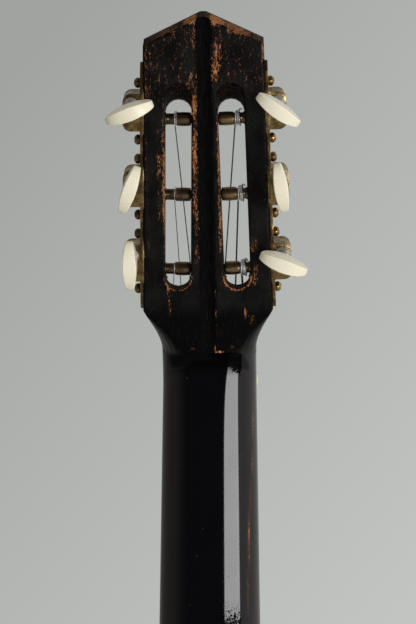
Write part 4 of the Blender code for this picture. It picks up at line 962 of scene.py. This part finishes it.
POST_TIP = ((-28.6, 2.2), (-24.25, 2.2))
POST_BARREL = (
    (-24.1, 3.35), (-23.0, 3.45), (-21.6, 3.55), (-20.2, 3.58), (-18.8, 3.54), (-17.5, 3.45), (-16.6, 3.35)
)
POST_JOURNAL = ((-16.45, 2.85), (-11.9, 2.85), (-11.6, 3.2), (-11.3, 3.3), (4.0, 3.3))
POST_STUB = ((4.05, 1.55), (7.2, 1.55))
STRING_HOLE = -12.6 * MM
GEAR_SCREW = ((6.9, 2.3), (7.6, 2.5), (8.2, 2.2), (8.45, 1.4))
WORM_CORE = ((-8.2, 1.5), (-7.9, 1.9), (-4.5, 1.95), (4.5, 1.95), (7.95, 1.9))
WORM_COLLAR = ((8.0, 3.6), (8.3, 3.9), (9.6, 3.9), (9.95, 3.7))
WORM_STEM = ((10.75, 2.4), (20.6, 2.3), (20.9, 2.1), (25, 1.6))
# The thread's section, as shares of its pitch, and radii in millimetres
THREAD = ((-0.31, 1.7), (-0.12, 3.3), (0.12, 3.3), (0.31, 1.7))
BUTTON_MIDDLE = 29 * MM
BUTTON_HALF_LENGTH = 12.6 * MM
BUTTON_HALF_HEIGHT = 8 * MM
BUTTON_THICK = 7.2 * MM
# How the button thins to its ends and to its sides
BUTTON_FALL = (0.0245 / MM, 0.008 / MM)
PLATE_SCREW = ((0.9, 2.3), (1.9, 2.35), (2.2, 2.65), (2.8, 2.65), (3.4, 2.5), (4.1, 1.95), (4.55, 1.2), (4.7, 0.4))


def make_posts():
    post = turned("post", POST_TIP + POST_BARREL + POST_JOURNAL + POST_STUB)
    rod = {"vertices": 16, "radius": 0.7 * MM, "depth": 12 * MM}
    hole = new_piece("hole", "cylinder", location=(STRING_HOLE, 0, 0), rotation=(math.pi / 2, 0, 0), **rod)
    carve(post, hole)
    round_edges(post, 0.14 * MM, 2, 30)
    smooth(post, 30)
    for number, (side, _) in TUNERS.items():
        piece = settle(copy_of(post, f"string_roller_{number}"), post_frame(number))
        # The treble-side posts take the darker copy of the brass, painted shade; the bass side keeps the plain post
        # brass
        finish = SHADED_BRASS if side > 0 else POST_BRASS
        put(piece, f"post_{number}", "brass", finish, f"string_post_{number}")
    clear_away(post)


def make_gears():
    screw = slotted_screw("gear_screw", GEAR_SCREW, 8.6, (1.4, 8, 0.7), 30)
    for number in TUNERS:
        gear = from_solid(f"gear_wheel_{number}", f"tuner_gear_{number}")
        round_edges(gear, 0.13 * MM, 2, 25)
        smooth(gear, 30)
        put(gear, f"post_{number}", "brass", PLATE_BRASS, f"tuner_gear_{number}")
        piece = settle(copy_of(screw, f"gear_screw_{number}"), post_frame(number))
        put(piece, f"post_{number}", "steel", STEM_STEEL)
    clear_away(screw)


def worm_thread():
    """One thread run along Y with the screw modifier, closed at both ends."""
    pitch = 2 * math.pi * GEAR_PITCH_RADIUS / GEAR_TEETH
    thread = new_piece("thread", "plane", size=1, location=(0, 0, 0))
    edit(thread)
    bm = bmesh.from_edit_mesh(thread.data)
    corners = sorted(bm.verts, key=lambda vert: math.atan2(vert.co.y, vert.co.x))
    for vert, (share, radius) in zip(corners, THREAD):
        vert.co = (0, pitch * (share - 1.5), radius * MM)
    bmesh.update_edit_mesh(thread.data)
    bpy.ops.mesh.delete(type="ONLY_FACE")
    leave()
    run = {"axis": "Y", "angle": 2 * math.pi, "screw_offset": pitch, "iterations": 2}
    modify(thread, "SCREW", steps=28, render_steps=28, use_merge_vertices=False, **run)
    edit(thread)
    pick_none()
    bpy.ops.mesh.select_mode(type="EDGE")
    bpy.ops.mesh.select_non_manifold()
    bpy.ops.mesh.edge_face_add()
    face_outward()
    leave()
    return thread


def make_worms():
    shaft = turned("shaft", WORM_CORE + WORM_COLLAR + WORM_STEM)
    settle(shaft, Matrix.Rotation(math.pi / 2, 4, "Z"))
    shaft = join([shaft, worm_thread()], "shaft")
    smooth(shaft, 32)
    for number, (side, _) in TUNERS.items():
        piece = copy_of(shaft, f"worm_screw_{number}")
        settle(piece, worm_frame(number) @ Matrix.Diagonal((1, 1, side, 1)))
        put(piece, f"worm_{number}", "steel", STEM_STEEL, f"worm_shaft_{number}")
    clear_away(shaft)


def make_buttons():
    """An oval lens: thick over the stem, thin at its two long ends, with a crease round each face."""
    button = new_piece("button", "cylinder", vertices=64, radius=1, depth=2, location=(0, 0, 0))
    edit(button)
    bpy.ops.transform.resize(value=(BUTTON_HALF_LENGTH, BUTTON_HALF_HEIGHT, MM), center_override=(0, 0, 0))
    for side in (1, -1):
        pick(button, lambda spot: side * spot.z > 0.5 * MM)
        for share in (0.97, 0.88, 0.74, 0.58, 0.40, 0.20):
            extrude((0, 0, side * 0.1 * MM))
            bm = bmesh.from_edit_mesh(button.data)
            reach = max(abs(vert.co.x) for vert in bm.verts if vert.select)
            grow = share * BUTTON_HALF_LENGTH / reach
            bpy.ops.transform.resize(value=(grow, grow, 1), center_override=(0, 0, 0))
    bm = bmesh.from_edit_mesh(button.data)
    for vert in bm.verts:
        thick = (BUTTON_THICK - BUTTON_FALL[0] * vert.co.x**2 - BUTTON_FALL[1] * vert.co.y**2) / 2
        if math.hypot(vert.co.x / BUTTON_HALF_LENGTH, vert.co.y / BUTTON_HALF_HEIGHT) > 0.99:
            thick -= 0.25 * MM
        vert.co.z = math.copysign(thick, vert.co.z)
    bmesh.update_edit_mesh(button.data)
    face_outward()
    leave()
    settle(button, Matrix.Translation((0, BUTTON_MIDDLE, 0)))
    round_edges(button, 0.3 * MM, 3, 38)
    smooth(button, 28)
    for number in TUNERS:
        turn = Matrix.Rotation(math.radians(BUTTON_TURNS[number]), 4, "Y")
        piece = settle(copy_of(button, f"oval_button_{number}"), worm_frame(number) @ turn)
        put(piece, f"worm_{number}", "ivoroid", IVORY, f"tuner_button_{number}")
    clear_away(button)


def make_plates():
    screw = slotted_screw("plate_screw", PLATE_SCREW, 5.0, (1.7, 0.7, 9), 38)
    # The treble-side screws take the darker copy of the brass, painted shade; the bass-side screws keep the brighter
    # screw brass
    for side, word, finish in ((1, "treble", SHADED_BRASS), (-1, "bass", SCREW_BRASS)):
        plate = from_solid(f"plate_strip_{word}", f"tuner_plate_{word}")
        middle = side_frame(side, POST_ALONG[1])
        inward = middle.to_3x3() @ Vector((-0.8 * MM, 0, 0))
        from_middle = middle.inverted()
        edit(plate)
        pick(plate, lambda spot: (from_middle @ spot).x < 0.4 * MM)
        bpy.ops.transform.translate(value=inward)
        leave()
        round_edges(plate, 0.22 * MM, 2, 30)
        smooth(plate, 32)
        put(plate, "guitar", "brass", PLATE_BRASS, f"tuner_plate_{word}")
        for index, along in enumerate(POST_ALONG, 1):
            for above, where, first_turn in ((18.4 * MM, "upper", 80), (-10.7 * MM, "lower", 0)):
                spot = middle @ Matrix.Translation((0, 0, side * (along + above - POST_ALONG[1])))
                turn = Matrix.Rotation(math.radians(37 * index + first_turn), 4, "X")
                piece = settle(copy_of(screw, f"plate_screw_{word}_{where}_{index}"), spot @ turn)
                put(piece, "guitar", "brass", finish)
    clear_away(screw)


# Strings


def string_points(number):
    """From the tie block over saddle and nut to the post, with the angle at which it meets the post."""
    radius = WIRE[number] / 2
    nut_x, saddle_x = (width * (3.5 - number) / 5 for width in (NUT_SPREAD, SADDLE_SPREAD))
    points = [
        Vector((saddle_x, TIE_HOLE, -SCALE - 21 * MM)),
        Vector((saddle_x, TIE_HOLE, -SCALE - 7 * MM)),
        Vector((saddle_x, SADDLE_TOP - radius, -SCALE - 1.2 * MM)),
        Vector((saddle_x, SADDLE_TOP - radius, -SCALE)),
        Vector((nut_x, NUT_TOP - radius, 0.4 * MM)),
        Vector((nut_x, NUT_TOP - radius, 4.6 * MM)),
    ]
    side = TUNERS[number][0]
    place = post_frame(number)
    reach = POST_NECK + radius
    seen = place.inverted() @ points[-1]
    meet = math.atan2(side * seen.z, seen.y) - math.acos(reach / math.hypot(seen.y, seen.z))
    points.append(place @ Vector((TURNS_START, reach * math.cos(meet), side * reach * math.sin(meet))))
    return points, meet


def turn_points(number, meet):
    """Turns on the post: neat on the treble side, crossing on the bass side, then a loose end."""
    side = TUNERS[number][0]
    place = post_frame(number)
    steps = 28
    spots = []
    for i in range(int((2.25 if side > 0 else 3.25) * steps)):
        turn = i / steps
        x = TURNS_START - 0.75 * MM * turn
        reach = POST_NECK + WIRE[number] / 2
        if side < 0:
            x = TURNS_START + 0.9 * MM * math.sin(math.pi * 0.9 * turn) + 0.5 * MM * turn
            reach += 0.22 * MM * turn
        spots.append((x, meet - 2 * math.pi * turn, reach))
    for _ in range(7):
        x, angle, reach = spots[-1]
        spots.append((x + 0.2 * MM, angle - 0.11, reach + 0.32 * MM))
    return [place @ Vector((x, reach * math.cos(angle), side * reach * math.sin(angle))) for x, angle, reach in spots]


def wire_along(name, points, radius):
    curve = bpy.data.curves.new(name, "CURVE")
    curve.dimensions = "3D"
    curve.bevel_depth = radius
    curve.bevel_resolution = 3
    curve.use_fill_caps = True
    spline = curve.splines.new("POLY")
    spline.points.add(len(points) - 1)
    for spot, place in zip(spline.points, points):
        spot.co = (*place, 1)
    wire = from_curve(name, curve)
    smooth(wire, 50)
    return wire


def make_strings():
    for number in TUNERS:
        points, meet = string_points(number)
        wire = wire_along(f"wire_{number}", points, WIRE[number] / 2)
        finish = WOUND_WIRE if number > 3 else PLAIN_WIRE
        put(wire, "guitar", "string_wire", finish, f"string_{number}")
        # The turns take the paler copy of the wire finish, a painted highlight
        turns = wire_along(f"wire_turns_{number}", turn_points(number, meet), WIRE[number] / 2)
        put(turns, "guitar", "string_wire", HIGHLIT_TURN_WIRE)


# Body

# Half of the outline, in millimetres from the top: place, handle before it and handle after it
BODY_KNOTS = [
    ((0, 0), (-12, 0), (12, 0)),
    ((35, 0), (20, 0), (97, 0)),
    ((140, -98), (140, -42), (140, -138)),
    ((117, -188), (117, -146), (117, -244)),
    ((183, -350), (183, -274), (183, -422)),
    ((0, -482), (100, -482), (-100, -482)),
]
# Length of a handle that draws a quarter of a circle of radius 1
ROUND_HANDLE = 0.5523


def closed_line(curve, knots):
    """A closed line through knots, each a place and the two handles that shape it there."""
    spline = curve.splines.new("BEZIER")
    spline.bezier_points.add(len(knots) - 1)
    spline.use_cyclic_u = True
    spline.resolution_u = 24
    for knot, places in zip(spline.bezier_points, knots):
        knot.handle_left_type = knot.handle_right_type = "FREE"
        for key, (x, z) in zip(("co", "handle_left", "handle_right"), places):
            setattr(knot, key, (x, z, 0))


def body_outline(curve):
    """One closed line round the body, through the same places on both sides."""
    half = [[(x * MM, z * MM + BODY_TOP) for x, z in knot] for knot in BODY_KNOTS]
    other = [[(-x, z) for x, z in (place, after, before)] for place, before, after in reversed(half[1:-1])]
    closed_line(curve, half + other)


def round_hole(curve, radius):
    knots = []
    for x, z in ((1, 0), (0, 1), (-1, 0), (0, -1)):
        for_knot = [(x + reach * z, z - reach * x) for reach in (0, ROUND_HANDLE, -ROUND_HANDLE)]
        knots.append([(radius * across, radius * up + HOLE_Z) for across, up in for_knot])
    closed_line(curve, knots)


def board(name, draw, front, back, edge, fill="BOTH"):
    """A flat shape drawn as a curve, given its thickness between two depths, and made a mesh."""
    curve = bpy.data.curves.new(name, "CURVE")
    curve.dimensions = "2D"
    curve.fill_mode = fill
    draw(curve)
    curve.extrude = (back - front) / 2 - edge
    curve.bevel_depth = edge
    curve.bevel_resolution = 2
    curve.offset = -edge
    obj = from_curve(name, curve)
    edit(obj)
    bpy.ops.mesh.remove_doubles(threshold=0.002 * MM)
    bpy.ops.mesh.normals_make_consistent(inside=False)
    leave()
    settle(obj, Matrix.Translation((0, (front + back) / 2, 0)) @ Matrix.Rotation(math.pi / 2, 4, "X"))
    smooth(obj, 40)
    return obj


def make_body():
    def top_shape(curve):
        body_outline(curve)
        round_hole(curve, HOLE_RADIUS)

    def inlay_shape(curve):
        round_hole(curve, INLAY_OUTER)
        round_hole(curve, INLAY_INNER)

    top = board("top_wood", top_shape, 0, PLATE_WOOD, 0.5 * MM)
    put(top, "guitar", "spruce", SPRUCE, "soundboard")
    inlay = board("rosette_inlay", inlay_shape, -0.05 * MM, 0.9 * MM, 0.03 * MM)
    put(inlay, "guitar", "rosewood", ROSETTE, "rosette")
    back = board("back_wood", body_outline, BODY_DEPTH - PLATE_WOOD, BODY_DEPTH, 0.6 * MM)
    put(back, "guitar", "black_lacquer", BLACK_BODY, "back_plate")
    ribs = board("rib_wood", body_outline, PLATE_WOOD, BODY_DEPTH - PLATE_WOOD, 0, "NONE")
    modify(ribs, "SOLIDIFY", thickness=RIB_WOOD, offset=-1.0)
    smooth(ribs, 40)
    put(ribs, "guitar", "black_lacquer", BLACK_BODY, "rib_bass", "rib_treble")

    put(refined("bridge_wood", "bridge", 0.4 * MM), "guitar", "ebony", EBONY, "bridge")
    put(refined("saddle_bone", "saddle", 0.15 * MM), "guitar", "bone", BONE, "saddle")
    # Bars, braces, linings and blocks inside are the frame's own
    for name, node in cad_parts.items():
        if not node.hide_render:
            node.data.materials.clear()
            node.data.materials.append(SPRUCE_BAR if "bar" in name or "brace" in name else CEDAR)


# Stage

FLOOR_RADIUS = 4
FLOOR_LOW, FLOOR_HIGH = (0.56, 0.57, 0.56), (0.60, 0.61, 0.60)
BACKDROP_LOW, BACKDROP_HIGH = (0.355, 0.367, 0.355), (0.540, 0.552, 0.534)
ROOM_TREBLE, ROOM_BEHIND, ROOM_WALL = (0.22, 0.205, 0.19), (0.045, 0.046, 0.050), (0.66, 0.62, 0.61)
FILL_BASS, FILL_TREBLE = (0.78, 0.78, 0.77), (0.34, 0.34, 0.335)
BOX_PLACE, BOX_TARGET = (-0.900, 1.221), (-0.052, -0.016)
BOX_WIDTH = 1.0
BOX_WATTS_A_METRE = 23.5
EYE = (-0.01363, 1.19994, 0.0379)
EYE_WAY = (0.01222, -0.99993, 0)
LENS = 131.6


def facing(obj, way):
    obj.rotation_mode = "QUATERNION"
    obj.rotation_quaternion = Vector(way).to_track_quat("-Z", "Y")


def make_floor():
    floor = disc("floor", 96, FLOOR_RADIUS, location=(0, 0, cad_box[0][2]))
    finish, tree, sockets, place = start_finish("pale_floor", Specular_IOR_Level=0.2, Roughness=0.7)
    feed(tree, sockets, Base_Color=mixed(tree, noise(tree, place, Scale=0.7), FLOOR_LOW, FLOOR_HIGH))
    floor.data.materials.append(finish)
    return floor


def make_room():
    """A pale backdrop for the camera, the room around it for reflections, and an even fill for the rest."""
    world = bpy.data.worlds.new("studio")
    bpy.context.scene.world = world
    world.use_nodes = True
    tree = world.node_tree
    tree.nodes.clear()
    way = tree.nodes.new("ShaderNodeTexCoord").outputs["Generated"]
    fall = vector_of(tree, "DOT_PRODUCT", way, (-1.0, 0.0, -0.9))["Value"]
    level = between(tree, fall, -0.19, 0.19, kind="LINEAR")
    backdrop = ramp(tree, level, (0.0, BACKDROP_LOW), (1.0, BACKDROP_HIGH))
    parts = add(tree, "ShaderNodeSeparateXYZ", {0: way}).outputs
    aside = between(tree, parts["X"], -0.1, 0.5)
    ahead = plus(tree, aside, -0.55, parts["Y"])
    wall = between(tree, math_of(tree, "MULTIPLY", parts["X"], -1.0), 0.70, 0.86)
    room = mixed(tree, aside, backdrop, ROOM_TREBLE)
    room = mixed(tree, between(tree, ahead, -0.3, 0.3), room, ROOM_BEHIND)
    room = mixed(tree, wall, room, ROOM_WALL)
    fill = mixed(tree, between(tree, parts["X"], -0.5, 0.7), FILL_BASS, FILL_TREBLE)
    seen, mirrored, lit = (
        add(tree, "ShaderNodeBackground", {"Color": colour, "Strength": 1.0}).outputs[0]
        for colour in (backdrop, room, fill)
    )
    path = tree.nodes.new("ShaderNodeLightPath").outputs
    direct = math_of(tree, "MAXIMUM", path["Is Camera Ray"], path["Is Transmission Ray"])
    some = add(tree, "ShaderNodeMixShader", {0: path["Is Glossy Ray"], 1: lit, 2: mirrored})
    both = add(tree, "ShaderNodeMixShader", {0: direct, 1: some.outputs[0], 2: seen})
    tree.links.new(both.outputs[0], tree.nodes.new("ShaderNodeOutputWorld").inputs["Surface"])


def make_soft_box(name, low, high, mirrored, floor):
    """The part of the soft box between two heights, which lights all but the floor."""
    lamp = bpy.data.lights.new(name, "AREA")
    lamp.shape = "RECTANGLE"
    lamp.size, lamp.size_y = BOX_WIDTH, high - low
    lamp.energy = BOX_WATTS_A_METRE * (high - low)
    box = in_scene(name, lamp)
    box.visible_glossy = mirrored
    box.location = (*BOX_PLACE, (low + high) / 2)
    facing(box, (BOX_TARGET[0] - BOX_PLACE[0], BOX_TARGET[1] - BOX_PLACE[1], 0))
    unlit = bpy.data.collections.new(f"not_lit_by_{name}")
    unlit.objects.link(floor)
    unlit.collection_objects[0].light_linking.link_state = "EXCLUDE"
    box.light_linking.receiver_collection = unlit


def make_stage():
    floor = make_floor()
    make_room()
    make_soft_box("soft_box", -0.330, -0.030, True, floor)
    make_soft_box("soft_box_low", -0.720, -0.330, False, floor)

    camera = bpy.data.cameras.new("camera")
    camera.sensor_width = 36
    camera.lens = LENS
    eye = in_scene("camera", camera)
    eye.location = EYE
    facing(eye, EYE_WAY)
    bpy.context.scene.camera = eye
    bpy.context.scene.view_settings.view_transform = "Standard"


make_head()
make_neck()
make_fingerboard()
make_posts()
make_gears()
make_worms()
make_buttons()
make_plates()
make_strings()
make_body()
make_stage()
